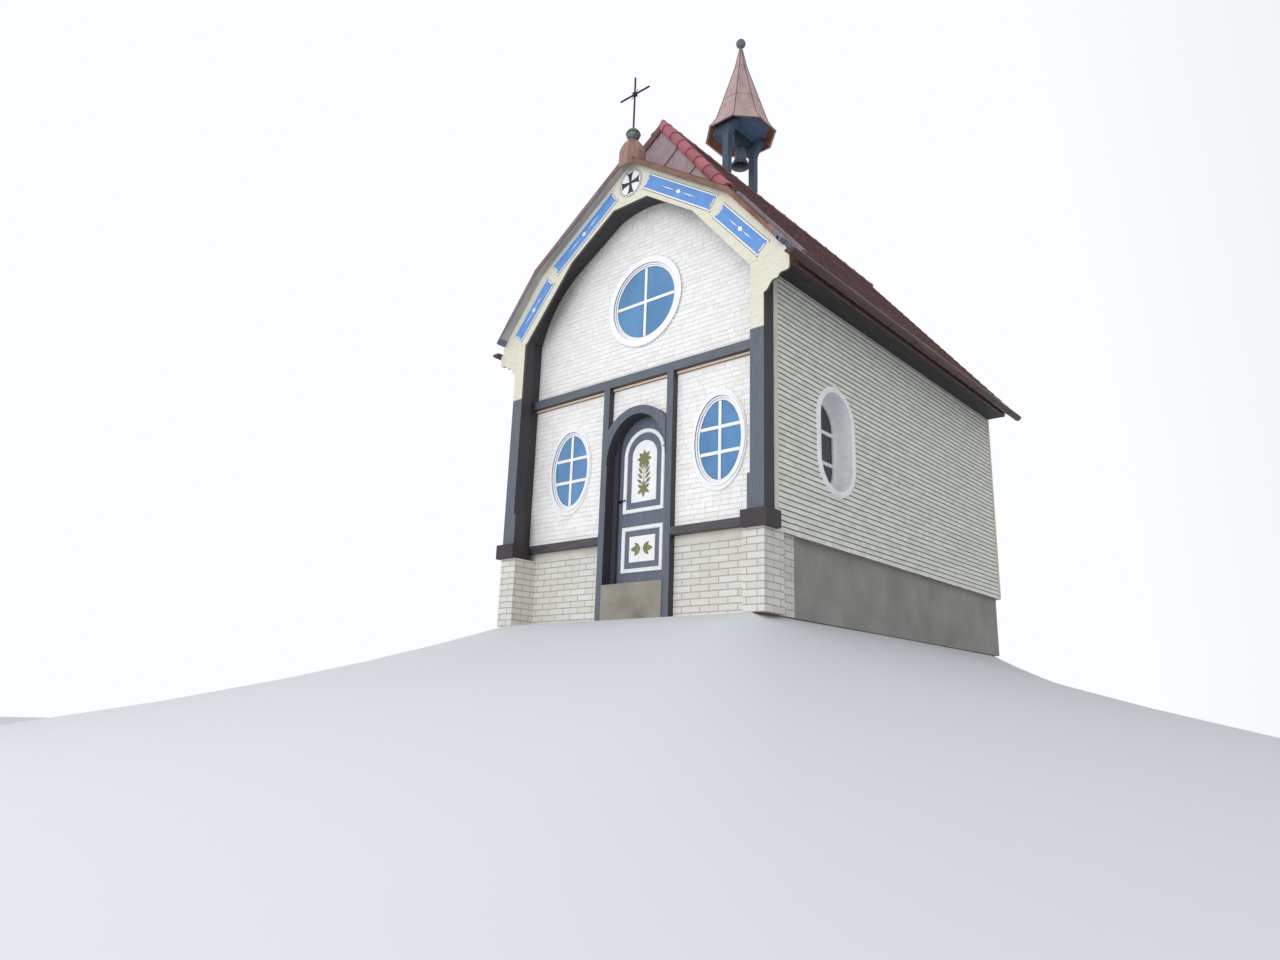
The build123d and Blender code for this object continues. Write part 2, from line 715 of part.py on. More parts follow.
# Windows
with BuildPart() as round_window:
    with BuildSketch(facade(wall_y - ring_proud)):
        with Locations((0, round_window_z)):
            Circle(round_outer)
            Circle(round_inner + ring_step, mode=Mode.SUBTRACT)
    extrude(amount=-ring_proud)
    with BuildSketch(facade(wall_y)):
        with Locations((0, round_window_z)):
            Circle(round_outer - ring_seat)
            Circle(round_inner, mode=Mode.SUBTRACT)
    extrude(amount=-ring_depth)

with BuildPart() as oval_window_right:
    with BuildSketch(facade(wall_y - ring_proud)):
        with Locations((oval_x, oval_z)):
            Ellipse(*oval_outer)
            Ellipse(*[size + ring_step for size in oval_inner], mode=Mode.SUBTRACT)
    extrude(amount=-ring_proud)
    with BuildSketch(facade(wall_y)):
        with Locations((oval_x, oval_z)):
            Ellipse(*oval_hole)
            Ellipse(*oval_inner, mode=Mode.SUBTRACT)
    extrude(amount=-ring_depth)

side_inner = [size - side_ring for size in side_outer]
side_glass = [size - sash_width for size in side_inner]
side_centre = (front_y + side_window_y, side_window_z)
with BuildPart() as side_window_right:
    with BuildSketch(flank(wall_x)):
        with Locations(side_centre):
            SlotOverall(2 * side_outer[1], 2 * side_outer[0], rotation=90)
            SlotOverall(2 * side_inner[1], 2 * side_inner[0], rotation=90, mode=Mode.SUBTRACT)
    extrude(amount=ring_proud)
    with BuildSketch(flank(wall_x)):
        with Locations(side_centre):
            SlotOverall(2 * side_hole[1], 2 * side_hole[0], rotation=90)
            SlotOverall(2 * side_inner[1], 2 * side_inner[0], rotation=90, mode=Mode.SUBTRACT)
    extrude(amount=-(side_glass_depth + sash_thickness))
    with BuildSketch(flank(wall_x - side_glass_depth)):
        with Locations(side_centre):
            SlotOverall(2 * side_inner[1], 2 * side_inner[0], rotation=90)
            SlotOverall(2 * side_glass[1], 2 * side_glass[0], rotation=90, mode=Mode.SUBTRACT)
    extrude(amount=-sash_thickness)

glass_y = wall_y + glass_depth
glass_x = wall_x - side_glass_depth - sash_thickness / 2
with BuildPart() as window_glass:
    with BuildSketch(facade(glass_y)):
        with Locations((0, round_window_z)):
            Circle(round_inner)
        with Locations((oval_x, oval_z), (-oval_x, oval_z)):
            Ellipse(*oval_inner)
    extrude(amount=-glass_thickness)
    for x in (glass_x, -glass_x - glass_thickness):
        with BuildSketch(flank(x)):
            with Locations(side_centre):
                SlotOverall(2 * side_glass[1], 2 * side_glass[0], rotation=90)
        extrude(amount=glass_thickness)

# Bell turret: two posts astride the ridge, each with a bearer on curved braces
turret_centre_y = front_y + turret_y
hood_ceiling_z = hood_mouth + hood_ceiling
bearer_bottom = hood_ceiling_z - bearer_height


def turret_post_at(centre_y):
    """Post with its braced bearer, notched over the ridge and bored for the bell's axle."""
    half_post = turret_post / 2
    with BuildPart() as post:
        with BuildSketch(facade(centre_y - half_post)):
            with BuildLine():
                Line((0, hood_ceiling_z), (bearer_half, hood_ceiling_z))
                Line((bearer_half, hood_ceiling_z), (bearer_half, bearer_bottom))
                TangentArc((half_post, bearer_bottom - brace_rise), (bearer_half, bearer_bottom),
                           tangent=(0, 1))
                Line((half_post, bearer_bottom - brace_rise), (half_post, ridge_height - turret_post))
                Line((half_post, ridge_height - turret_post), (0, ridge_height - turret_post))
                Line((0, ridge_height - turret_post), (0, hood_ceiling_z))
            make_face()
            mirror(about=Plane.YZ)
        extrude(amount=-turret_post)
        add(roof_right.part, mode=Mode.SUBTRACT)
        add(roof_left.part, mode=Mode.SUBTRACT)
        add(ridge_cap.part, mode=Mode.SUBTRACT)
        block((-turret_post, turret_post), (centre_y - turret_post, centre_y + turret_post),
              (0, roof_z(0, roof_thickness)), Mode.SUBTRACT)
        inner_side = turret_centre_y - centre_y
        bore_y = centre_y + (half_post - axle_seat / 2) * (1 if inner_side > 0 else -1)
        with Locations((0, bore_y, axle_z)):
            Cylinder(axle_radius + running_gap, axle_seat + running_gap, rotation=(90, 0, 0),
                     mode=Mode.SUBTRACT)
    return post


turret_post_front = turret_post_at(turret_centre_y - turret_span / 2)
turret_post_rear = turret_post_at(turret_centre_y + turret_span / 2)

octagon_turn = 22.5


def octagon_at(z, radius, centre_y):
    """Octagon with flat sides to the front and to the right, at height z."""
    with BuildSketch(Plane((0, centre_y, z))) as ring:
        RegularPolygon(radius, 8, rotation=octagon_turn)
    return ring.sketch


def octagonal_spire(rings, centre_y):
    """Stack of octagonal tapers through (height, radius) rings."""
    with BuildPart() as stack:
        for low, high in zip(rings, rings[1:]):
            sections = [octagon_at(z, radius, centre_y) for z, radius in (low, high)]
            loft(sections, ruled=True)
    return stack


hood_rings = [(hood_mouth + rise, radius) for rise, radius in hood_flare]
skirt_rings = [(hood_mouth, hood_flare[0][1] - hood_skirt), (hood_ceiling_z, hood_opening)]
skirt_hollow = octagonal_spire(skirt_rings, turret_centre_y)
spire_solid = octagonal_spire(hood_rings, turret_centre_y)
with BuildPart() as spire_hood:
    add(spire_solid.part)
    add(skirt_hollow.part, mode=Mode.SUBTRACT)

spire_top = hood_mouth + hood_flare[-1][0]
finial_z = spire_top + finial_neck + finial_radius - finial_sink
with BuildPart() as spire_finial:
    with BuildSketch(Plane.XZ.offset(-turret_centre_y)):
        with BuildLine():
            Line((0, spire_top), (finial_neck_radius, spire_top))
            Line((finial_neck_radius, spire_top), (finial_tip_radius, spire_top + finial_neck))
            Line((finial_tip_radius, spire_top + finial_neck), (0, spire_top + finial_neck))
            Line((0, spire_top + finial_neck), (0, spire_top))
        make_face()
    revolve(axis=Axis((0, turret_centre_y, 0), (0, 0, 1)))
    with Locations((0, turret_centre_y, finial_z)):
        Sphere(finial_radius)
    with Locations((0, turret_centre_y, finial_z + finial_radius)):
        Cone(finial_tip_radius, finial_tip_radius / 3, finial_tip)

# Bell, its yoke and its clapper
yoke_half_length = turret_span / 2 - turret_post / 2 - yoke_side_gap
yoke_top = axle_z + yoke_bar_height / 2
yoke_bottom = bell_mouth_z + bell_height
with BuildPart() as bell_yoke:
    with BuildSketch(flank(-yoke_half_width)):
        with BuildLine():
            Polyline((turret_centre_y - yoke_half_length, yoke_top),
                     (turret_centre_y + yoke_half_length, yoke_top),
                     (turret_centre_y + yoke_half_length, yoke_top - yoke_bar_height),
                     (turret_centre_y + yoke_block_half[0], yoke_top - yoke_bar_height),
                     (turret_centre_y + yoke_block_half[1], yoke_bottom),
                     (turret_centre_y - yoke_block_half[1], yoke_bottom),
                     (turret_centre_y - yoke_block_half[0], yoke_top - yoke_bar_height),
                     (turret_centre_y - yoke_half_length, yoke_top - yoke_bar_height), close=True)
        make_face()
    extrude(amount=2 * yoke_half_width)
    with Locations((0, turret_centre_y, axle_z)):
        Cylinder(axle_radius, 2 * (yoke_half_length + axle_seat),
                 rotation=(90, 0, 0))

crown_radius = bell_radius * crown_share
shoulder_radius = bell_radius * shoulder_share
waist_radius = bell_radius * waist_share
bell_top_z = bell_mouth_z + bell_height
crown_z = bell_mouth_z + bell_height * crown_rise
shoulder_z = bell_mouth_z + bell_height * shoulder_rise
waist_z = bell_mouth_z + bell_height * waist_rise
vault_z = bell_mouth_z + bell_height * vault_rise
vault_side_z = bell_mouth_z + bell_height * vault_side_rise
with BuildPart() as bell:
    with BuildSketch(Plane.XZ.offset(-turret_centre_y)):
        with BuildLine():
            Line((0, bell_top_z), (crown_radius / 2, bell_top_z))
            Line((crown_radius / 2, bell_top_z), (crown_radius / 2, crown_z))
            Line((crown_radius / 2, crown_z), (crown_radius, crown_z))
            Spline((crown_radius, crown_z), (shoulder_radius, shoulder_z), (waist_radius, waist_z),
                   (bell_radius, bell_mouth_z))
            Line((bell_radius, bell_mouth_z), (bell_radius - bell_wall, bell_mouth_z))
            Spline((bell_radius - bell_wall, bell_mouth_z), (waist_radius - bell_wall, waist_z),
                   (shoulder_radius - bell_wall, vault_side_z))
            Line((shoulder_radius - bell_wall, vault_side_z), (0, vault_z))
            Line((0, vault_z), (0, bell_top_z))
        make_face()
    revolve(axis=Axis((0, turret_centre_y, 0), (0, 0, 1)))

clapper_top = vault_z
clapper_foot = bell_mouth_z + bell_height * clapper_rise
with BuildPart() as bell_clapper:
    with Locations((0, turret_centre_y, (clapper_top + clapper_foot) / 2)):
        Cylinder(clapper_rod, clapper_top - clapper_foot)
    with Locations((0, turret_centre_y, clapper_foot)):
        Sphere(clapper_ball)
    add(bell.part, mode=Mode.SUBTRACT)

# Pedestal, ball and iron cross on the canopy
cross_centre_y = front_y + cross_y
pedestal_levels = [(canopy_apex + lift, radius) for lift, radius in pedestal_rings]
pedestal_stack = octagonal_spire(pedestal_levels, cross_centre_y)
with BuildPart() as cross_pedestal:
    add(pedestal_stack.part)
    add(canopy_core.part, mode=Mode.SUBTRACT)

with BuildPart() as cross_ball:
    with BuildSketch(Plane.XZ.offset(-cross_centre_y)):
        with BuildLine():
            ThreePointArc((cross_ball_neck, cross_ball_z - cross_ball_half_height),
                          (cross_ball_radius, cross_ball_z),
                          (cross_ball_neck, cross_ball_z + cross_ball_half_height))
            Polyline((cross_ball_neck, cross_ball_z + cross_ball_half_height),
                     (0, cross_ball_z + cross_ball_half_height), (0, pedestal_top),
                     (cross_ball_neck, pedestal_top),
                     (cross_ball_neck, cross_ball_z - cross_ball_half_height))
        make_face()
    revolve(axis=Axis((0, cross_centre_y, 0), (0, 0, 1)))

cross_foot = cross_ball_z + cross_ball_half_height
with BuildPart() as roof_cross:
    block((-cross_bar / 2, cross_bar / 2), (cross_centre_y - cross_bar / 2, cross_centre_y + cross_bar / 2),
          (cross_foot, cross_top))
    block((-cross_arm_half, cross_arm_half), (cross_centre_y - cross_bar / 2, cross_centre_y + cross_bar / 2),
          (cross_arm_z - cross_bar / 2, cross_arm_z + cross_bar / 2))
    with BuildSketch(facade(cross_centre_y - cross_bar)):
        with Locations((0, cross_arm_z)):
            Circle(rosette_radius)
    extrude(amount=-2 * cross_bar)

# Every piece under its own name
def pair(piece):
    """A piece of the right side together with its twin on the left."""
    with BuildPart() as both:
        add(piece.part)
        add(mirror(piece.part, about=Plane.YZ))
    return both


with BuildPart() as turret_posts:
    add(turret_post_front.part)
    add(turret_post_rear.part)

pieces = {
    "front_plinths": pair(front_plinth_right),
    "side_plinths": pair(side_plinth_right),
    "rear_plinth": rear_plinth,
    "floor_slab": floor_slab,
    "threshold": threshold,
    "front_wall_left": mirrored(front_wall_right),
    "front_wall_right": front_wall_right,
    "front_wall_over_door": front_wall_over_door,
    "front_gable_wall": front_gable_wall,
    "side_wall_left": mirrored(side_wall_right),
    "side_wall_right": side_wall_right,
    "rear_wall": rear_wall,
    "corner_posts": pair(corner_post_right),
    "corner_returns": pair(corner_return_right),
    "cross_beam": cross_beam,
    "sill_beams": pair(sill_beam_right),
    "door_posts": pair(door_post_right),
    "door_arch": door_arch,
    "door_leaf": door_leaf,
    "door_hinges": door_hinges,
    "door_handle": door_handle,
    "gable_board": gable_board,
    "arch_lining": arch_lining,
    "canopy_left": mirrored(canopy_right),
    "canopy_right": canopy_right,
    "front_hip": front_hip,
    "roof_left": roof_left,
    "roof_right": roof_right,
    "hip_cap_left": mirrored(hip_cap_right),
    "hip_cap_right": hip_cap_right,
    "ridge_cap": ridge_cap,
    "eaves": pair(eaves_right),
    "gutters": pair(gutter_right),
    "round_window": round_window,
    "oval_windows": pair(oval_window_right),
    "side_windows": pair(side_window_right),
    "window_glass": window_glass,
    "turret_posts": turret_posts,
    "spire_hood": spire_hood,
    "spire_finial": spire_finial,
    "bell_yoke": bell_yoke,
    "bell": bell,
    "bell_clapper": bell_clapper,
    "cross_pedestal": cross_pedestal,
    "cross_ball": cross_ball,
    "roof_cross": roof_cross,
}

os.makedirs("parts", exist_ok=True)
for name, piece in pieces.items():
    piece.part.label = name
    export_step(piece.part, "parts/" + name + ".step")
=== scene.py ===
"""A small shingled chapel with a bell turret: its looks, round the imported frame. Lengths are in metres."""

import random
from math import atan2, cos, exp, hypot, pi, radians, sin, sqrt, tan

import bmesh
import bpy
from mathutils import Matrix, Vector


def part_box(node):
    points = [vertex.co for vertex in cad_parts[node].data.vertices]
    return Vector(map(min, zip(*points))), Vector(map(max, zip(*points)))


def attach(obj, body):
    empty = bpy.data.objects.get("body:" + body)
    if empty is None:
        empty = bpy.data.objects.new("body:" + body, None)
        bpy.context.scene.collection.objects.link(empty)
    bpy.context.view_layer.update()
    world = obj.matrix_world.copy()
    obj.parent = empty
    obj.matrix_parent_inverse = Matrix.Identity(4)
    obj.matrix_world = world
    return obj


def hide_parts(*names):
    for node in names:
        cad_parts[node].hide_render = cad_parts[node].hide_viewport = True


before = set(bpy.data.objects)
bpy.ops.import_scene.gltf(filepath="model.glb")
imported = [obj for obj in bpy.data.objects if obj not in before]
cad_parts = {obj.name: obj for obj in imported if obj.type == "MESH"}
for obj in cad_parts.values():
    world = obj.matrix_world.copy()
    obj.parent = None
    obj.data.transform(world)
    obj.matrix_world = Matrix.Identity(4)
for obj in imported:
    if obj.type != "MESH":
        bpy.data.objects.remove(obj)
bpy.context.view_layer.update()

# Planes and levels of the frame that the pieces below are set against
POST_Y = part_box("corner_posts")[0].y + 0.05
WALL_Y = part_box("front_gable_wall")[0].y
BOARD_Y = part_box("gable_board")[0].y
LEAF_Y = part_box("door_leaf")[0].y + 0.010
WALL_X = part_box("side_wall_right")[1].x
REAR_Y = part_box("rear_wall")[1].y
ROOF_END_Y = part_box("roof_right")[1].y
PLINTH_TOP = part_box("side_plinths")[1].z
SILL_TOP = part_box("sill_beams")[1].z
BEAM_FOOT, BEAM_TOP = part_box("cross_beam")[0].z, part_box("cross_beam")[1].z
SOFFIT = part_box("eaves")[0].z
EAVE_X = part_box("roof_right")[1].x
BREAK_X = 1.6
ROOF_PITCH, CANOPY_PITCH = radians(51.25), radians(34.5)
TILE_STEP, COURSES, CAP_DROP = 0.028, 11, 0.070
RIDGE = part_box("roof_right")[1].z + TILE_STEP / cos(ROOF_PITCH)
EAVE = RIDGE - EAVE_X * tan(ROOF_PITCH)
BREAK_Z = RIDGE - BREAK_X * tan(ROOF_PITCH)
APEX = BREAK_Z + BREAK_X * tan(CANOPY_PITCH)
HIP_FOOT_Y, HIP_TOP_Y = POST_Y + 0.05, POST_Y + 0.606
TILE_EDGE_Y = POST_Y + 0.30
CANOPY_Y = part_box("canopy_right")[0].y
ARCH_Z = 2.105
TURRET_Y = POST_Y + 2.4
# Middles of the windows, and the edges of the front's shingled panels from the middle outwards
SIDE_WINDOW, ROUND_WINDOW, OVAL_WINDOW = (POST_Y + 1.52, 2.10), (0.0, 4.003), (1.178, 1.981)
DOOR_PANEL, PANEL_IN, PANEL_OUT, BATTEN = 0.465, 0.56, 1.89, 0.035
LINING_FOOT = 3.88
# Rows of shingles: exposed height in front and at the sides
FRONT_PITCH, SIDE_PITCH = 0.0608, 0.0620
SIDES = ((1, "right"), (-1, "left"))


def linear(colour):
    """sRGB hex to the linear colour that a shader takes."""
    parts = [int(colour[i:i + 2], 16) / 255 for i in (1, 3, 5)]
    return tuple(c / 12.92 if c <= 0.04045 else ((c + 0.055) / 1.055) ** 2.4 for c in parts) + (1.0,)


def feed(node, feeds):
    """Sets a node's inputs to values, or joins sockets to them."""
    for key, value in feeds.items():
        if isinstance(value, bpy.types.NodeSocket):
            node.id_data.links.new(value, node.inputs[key])
        else:
            node.inputs[key].default_value = value


def put(tree, kind, feeds=None, output=0, **settings):
    """Adds a node with its settings and feeds, and gives one of its outputs, or with None the node itself."""
    node = tree.nodes.new(kind)
    for key, value in settings.items():
        setattr(node, key, value)
    feed(node, feeds or {})
    return node if output is None else node.outputs[output]


def ramp(tree, value, *stops):
    """Colours a 0 to 1 pattern by stops of (position, hex)."""
    node = put(tree, "ShaderNodeValToRGB", {"Fac": value}, None)
    elements = node.color_ramp.elements
    while len(elements) < len(stops):
        elements.new(0.5)
    for element, (position, colour) in zip(elements, stops):
        element.position = position
        element.color = linear(colour)
    return node.outputs["Color"]


def patches(tree, value, low, high, most):
    """Mask that is black up to low and rises to its greatest grey at high."""
    return ramp(tree, value, (low, "#000000"), (high, most))


def own_tone(tree, *stops):
    """Colour by the shade that every laid piece carries."""
    return ramp(tree, put(tree, "ShaderNodeAttribute", None, "Fac", attribute_name="shade"), *stops)


def mottle(tree, size_mm, stretch=(1, 1, 1), detail=4, rough=0.55):
    """Soft spots of that real size, drawn out along an axis where stretch is under 1 there."""
    where = put(tree, "ShaderNodeTexCoord", None, "Object")
    drawn = put(tree, "ShaderNodeMapping", {"Vector": where, "Scale": stretch})
    return put(tree, "ShaderNodeTexNoise",
               {"Vector": drawn, "Scale": 1000 / size_mm, "Detail": detail, "Roughness": rough})


def blend(tree, amount, low, high):
    """Mixes two colours, each a hex or a socket, by a socket or a number."""
    feeds = {"Factor": amount}
    for key, value in ((6, low), (7, high)):
        feeds[key] = linear(value) if isinstance(value, str) else value
    return put(tree, "ShaderNodeMix", feeds, 2, data_type="RGBA")


def spread(tree, value, low, high):
    """Moves a 0 to 1 pattern into a range."""
    return put(tree, "ShaderNodeMapRange", {"Value": value, "To Min": low, "To Max": high})


def reckon(tree, operation, *values):
    """Result of a sum or a comparison of numbers and sockets."""
    return put(tree, "ShaderNodeMath", dict(enumerate(values)), operation=operation)


def axis_of(tree, axis, kind="ShaderNodeTexCoord", output="Object"):
    """One axis of the place on the object, or of another node's vector."""
    return put(tree, "ShaderNodeSeparateXYZ", {"Vector": put(tree, kind, None, output)}, axis)


def facing(tree, axis):
    """One axis of the direction that a face looks in."""
    return axis_of(tree, axis, "ShaderNodeNewGeometry", "True Normal")


def facing_down(tree):
    """1 where a face looks down."""
    return reckon(tree, "LESS_THAN", facing(tree, "Z"), -0.3)


def beyond(tree, reach):
    """1 where a place lies further out to either side than the reach."""
    return reckon(tree, "GREATER_THAN", reckon(tree, "ABSOLUTE", axis_of(tree, "X")), reach)


def new_finish(name, rough, metal=0.0, **more):
    """An empty material and its nodes, with the shader's constants set."""
    made = bpy.data.materials.new(name)
    made.use_nodes = True
    feed(made.node_tree.nodes["Principled BSDF"], {"Roughness": rough, "Metallic": metal, **more})
    return made, made.node_tree


def finish_with(made, colour, height=None, depth_mm=1.0, rough=None):
    """Joins colour, relief of that depth and a roughness pattern to the material's shader."""
    tree, feeds = made.node_tree, {"Base Color": colour}
    if height is not None:
        feeds["Normal"] = put(tree, "ShaderNodeBump", {"Height": height, "Distance": depth_mm / 1000,
                                                       "Strength": 1.0})
    if rough is not None:
        feeds["Roughness"] = rough
    feed(tree.nodes["Principled BSDF"], feeds)
    return made


def shingles(name, pale, middle, dark, grime, butt):
    """Split softwood shingles under thin paint: each board has its own tone and long grain; faces that look
    down take the butt colour, painted shade for the shadow line under each row.
    """
    made, tree = new_finish(name, 0.72)
    fibre = mottle(tree, 9, (1, 1, 0.10), 5, 0.65)
    worn = patches(tree, fibre, 0.52, 0.78, "#707070")
    soiled = patches(tree, mottle(tree, 420, (1, 1, 0.6), 3), 0.42, 0.75, "#4a4a4a")
    colour = blend(tree, worn, own_tone(tree, (0.0, dark), (0.45, middle), (1.0, pale)), grime)
    # Painted shade: faces that look down take the dark butt colour, the shadow line under each row.
    colour = blend(tree, facing_down(tree), blend(tree, soiled, colour, grime), butt)
    return finish_with(made, colour, fibre, 1.4, spread(tree, fibre, 0.6, 0.85))


def paint(name, base, lighter, darker, rough=0.5, grain_mm=14, along=(1, 1, 0.06), relief_mm=0.5, edge=None,
          foot=None):
    """Linseed paint on planed timber: nearly even, with brush drag along the grain and a little chalking.
    The edge colour is painted shade: faces that don't look to the front get it, in place of the shade on
    sides and undersides.
    Below the foot's height the paint has another colour."""
    made, tree = new_finish(name, rough)
    drag, cloud = mottle(tree, grain_mm, along), mottle(tree, 350, detail=3)
    tone = ramp(tree, drag, (0.3, darker), (0.5, base), (0.72, lighter))
    tone = blend(tree, patches(tree, cloud, 0.45, 0.8, "#5c5c5c"), tone, lighter)
    if edge:
        # Painted shade: faces that don't look to the front take the darker edge colour.
        tone = blend(tree, reckon(tree, "GREATER_THAN", facing(tree, "Y"), -0.6), tone, edge)
    if foot:
        tone = blend(tree, reckon(tree, "LESS_THAN", axis_of(tree, "Z"), foot[0]), tone, foot[1])
    return finish_with(made, tone, drag, relief_mm, spread(tree, cloud, rough - 0.08, rough + 0.14))


def sheet(name, base, lighter, darker, rough=0.4, metal=0.35, streak=(1, 1, 0.12), size_mm=60):
    """Sheet metal left to the weather: blotchy oxide with rain streaks, duller where it is darkest."""
    made, tree = new_finish(name, rough, metal)
    runs, cloud = mottle(tree, size_mm, streak, 5, 0.6), mottle(tree, 300)
    tone = ramp(tree, runs, (0.28, darker), (0.5, base), (0.74, lighter))
    tone = blend(tree, patches(tree, cloud, 0.45, 0.75, "#6a6a6a"), tone, darker)
    return finish_with(made, tone, cloud, 1.2, spread(tree, runs, rough - 0.08, rough + 0.15))


def clay(name, pale, middle, dark, soot, rough=0.72):
    """Fired clay tiles: every tile its own firing colour, sandy skin, soot and lichen in patches."""
    made, tree = new_finish(name, rough)
    cloud = mottle(tree, 260, detail=5)
    tone = own_tone(tree, (0.0, dark), (0.5, middle), (1.0, pale))
    tone = blend(tree, patches(tree, cloud, 0.45, 0.72, "#8a8a8a"), tone, soot)
    grit = mottle(tree, 6, detail=3)
    return finish_with(made, tone, grit, 1.0, spread(tree, cloud, rough - 0.06, rough + 0.12))


def plaster(name, base, lighter, darker, grain_mm=12, relief_mm=1.5, rough=0.85):
    """Floated lime plaster: sandy, with wide faint clouds where it dried unevenly."""
    made, tree = new_finish(name, rough)
    tone = ramp(tree, mottle(tree, 500), (0.3, darker), (0.5, base), (0.7, lighter))
    return finish_with(made, tone, mottle(tree, grain_mm), relief_mm)


VERGE_FOOT = "#66708c"
SLATE = ("#5c6470", "#666e7a", "#525964", 0.48)
# Ways that grain and streaks run
LEVEL, LENGTHWISE, EVERY_WAY, GUTTER_WAY = (0.06, 1, 1), (1, 0.05, 1), (1, 1, 1), (1, 0.1, 1)
# The last colour of each is the painted shade of the shingle butts.
lime_shingle = shingles("limewashed_split_shingle", "#fbfbfa", "#f8f7f5", "#f2f0ed", "#ddd9d0", "#9d9b97")
oil_shingle = shingles("oil_painted_split_shingle", "#f1f2ea", "#eaebe2", "#dfe0d7", "#c8c9bc", "#6c6d66")
# The edge colours of these paints are painted shade on faces that look aside or down.
slate_paint = paint("slate_grey_linseed_paint", *SLATE, edge="#37343a")
post_paint = paint("slate_grey_post_paint", *SLATE, edge="#37343a", foot=(1.031, "#362e34"))
sill_paint = paint("dark_sill_paint", "#4a474c", "#55525a", "#3d3a3e", 0.48, along=LEVEL, edge="#3d3435")
beam_paint = paint("slate_grey_beam_paint", "#5e6570", "#686f7a", "#545a64", 0.48, along=LEVEL,
                   edge="#3d3435")
# Slate paint darkened into painted shade, for the arch lining and door stop, which stand in shadow.
lining_shade_paint = paint("slate_lining_painted_shade", "#3c3a40", "#48454c", "#302e34", 0.55, along=(1, 0.06, 1))
# The board's last colour is painted shade on its edges and undersides.
board_paint = paint("cream_linseed_paint", "#dfdcc9", "#e5e3d3", "#d9d5c0", 0.5, 30, (0.3, 1, 1), 0.4,
                    "#5c564f")
lining_trim = paint("pale_lining_bead_paint", "#c9bfb0", "#d8d0c3", "#b7ab9a", 0.55)
joint_paint = paint("tan_joint_line", "#c3ab8d", "#d2bc9f", "#ad9576", 0.55)
trim_paint = paint("pale_grey_trim_paint", "#d6d5c8", "#e0dfd5", "#c4c3b5", 0.55)
# The batten's edge colour is painted shade on its underside.
batten_paint = paint("buff_batten_paint", "#f1dcc6", "#f6e8d8", "#e2c6aa", 0.55, along=LEVEL, edge="#8d5f50")
white_paint = paint("white_sash_enamel", "#f6f7f8", "#fbfbfb", "#eceef0", 0.35, 60, EVERY_WAY, 0.2)
# The grey edge colour is painted shade on the rings' stepped risers, which don't face the front.
sash_paint = paint("white_enamel_with_painted_shade_edges", "#fbfcfd", "#ffffff", "#f4f6f8", 0.35, 60, EVERY_WAY, 0.2,
                   "#7d89a0")
plate_paint = paint("sky_blue_sign_enamel", "#6093d4", "#6a9cdc", "#578aca", 0.35, 150, EVERY_WAY, 0.1)
line_paint = paint("dark_line_paint", "#2f3542", "#3d4452", "#20242e", relief_mm=0.2)
leaf_paint = paint("blue_grey_door_paint", "#646b7a", "#707888", "#575e6c", 0.42)
olive_paint = paint("olive_ornament_paint", "#7f7d52", "#96936a", "#66653f", relief_mm=0.3)
soffit_stain = paint("near_black_soffit_stain", "#292629", "#363135", "#1e1b1e", 0.6, along=LENGTHWISE)
fascia_stain = paint("brown_fascia_stain", "#5e423c", "#6f5149", "#4a302f", along=LENGTHWISE)
post_stain = paint("blue_grey_turret_timber", "#435468", "#506277", "#364658")
ceiling_stain = paint("blue_hood_ceiling", "#667ea3", "#758db1", "#566c8e")
verge_paint = paint("blue_grey_verge_foot_paint", VERGE_FOOT, "#737d99", "#59637d")
gutter_metal = sheet("painted_sheet_gutter", "#54403c", "#644d47", "#42312f", streak=GUTTER_WAY, size_mm=90)
# The pale bead colour is a painted highlight along the gutter's lip.
bead_highlight_metal = sheet("gutter_lip_painted_highlight", "#cfc8c4", "#ddd7d4", "#b8afac", 0.4, 0.1, GUTTER_WAY, 90)
hood_copper = sheet("browned_copper_sheet", "#bea1a0", "#cdb3b2", "#a58a89", streak=(1, 1, 0.5), size_mm=160)
bright_copper = sheet("newer_copper_trim", "#98654c", "#ad7a5e", "#7b4e3a", 0.4, 0.5)
cap_copper = sheet("weathered_copper_cap", "#96766a", "#a9887b", "#7d6056")
hip_copper = sheet("dull_copper_sheet", "#9b858a", "#ab979c", "#846e73", 0.45, 0.3)
strip_metal = sheet("pink_grey_flashing", "#8b7880", "#9c8a92", "#75636b", 0.45, 0.3)
seam_metal = sheet("dark_seam_metal", "#6c575a", "#7c6669", "#5a474a", 0.5, 0.3)
dark_edge = sheet("dark_verge_metal", "#3d2d30", "#4b393c", "#2e2124", 0.45, 0.4)
ball_copper = sheet("green_patina_copper", "#6f7b79", "#8a9593", "#4f5857", 0.5, 0.3, EVERY_WAY, 40)
wrought_iron = sheet("painted_wrought_iron", "#2b2a2c", "#3d3b3d", "#1c1b1d", 0.5, 0.6, EVERY_WAY, 20)
bell_bronze = sheet("blue_grey_bell_bronze", "#757d87", "#8a929b", "#5c636c", 0.4, 0.7, EVERY_WAY, 45)
bell_iron = sheet("oiled_bell_iron", "#4e5662", "#616975", "#39404a", 0.45, 0.6, EVERY_WAY, 30)
latch_steel = sheet("dark_latch_steel", "#3a3a3d", "#565659", "#262628", 0.35, 0.85, EVERY_WAY, 15)
roof_clay = clay("engobed_clay_tile", "#8a6664", "#7e5c5b", "#705050", "#634a4b")
cap_clay = clay("fired_clay_cap_tile", "#b4646f", "#a65a66", "#93505a", "#85505a", 0.5)
wall_plaster = plaster("lime_wall_plaster", "#d8d5ca", "#e3e0d6", "#c8c4b7")
plinth_plaster = plaster("grey_plinth_render", "#969490", "#a09e9a", "#8b8985", 18, 3.0)
floor_stone = plaster("sanded_floor_slab", "#8f8a80", "#a19c91", "#787369", 20, 1.0, 0.7)


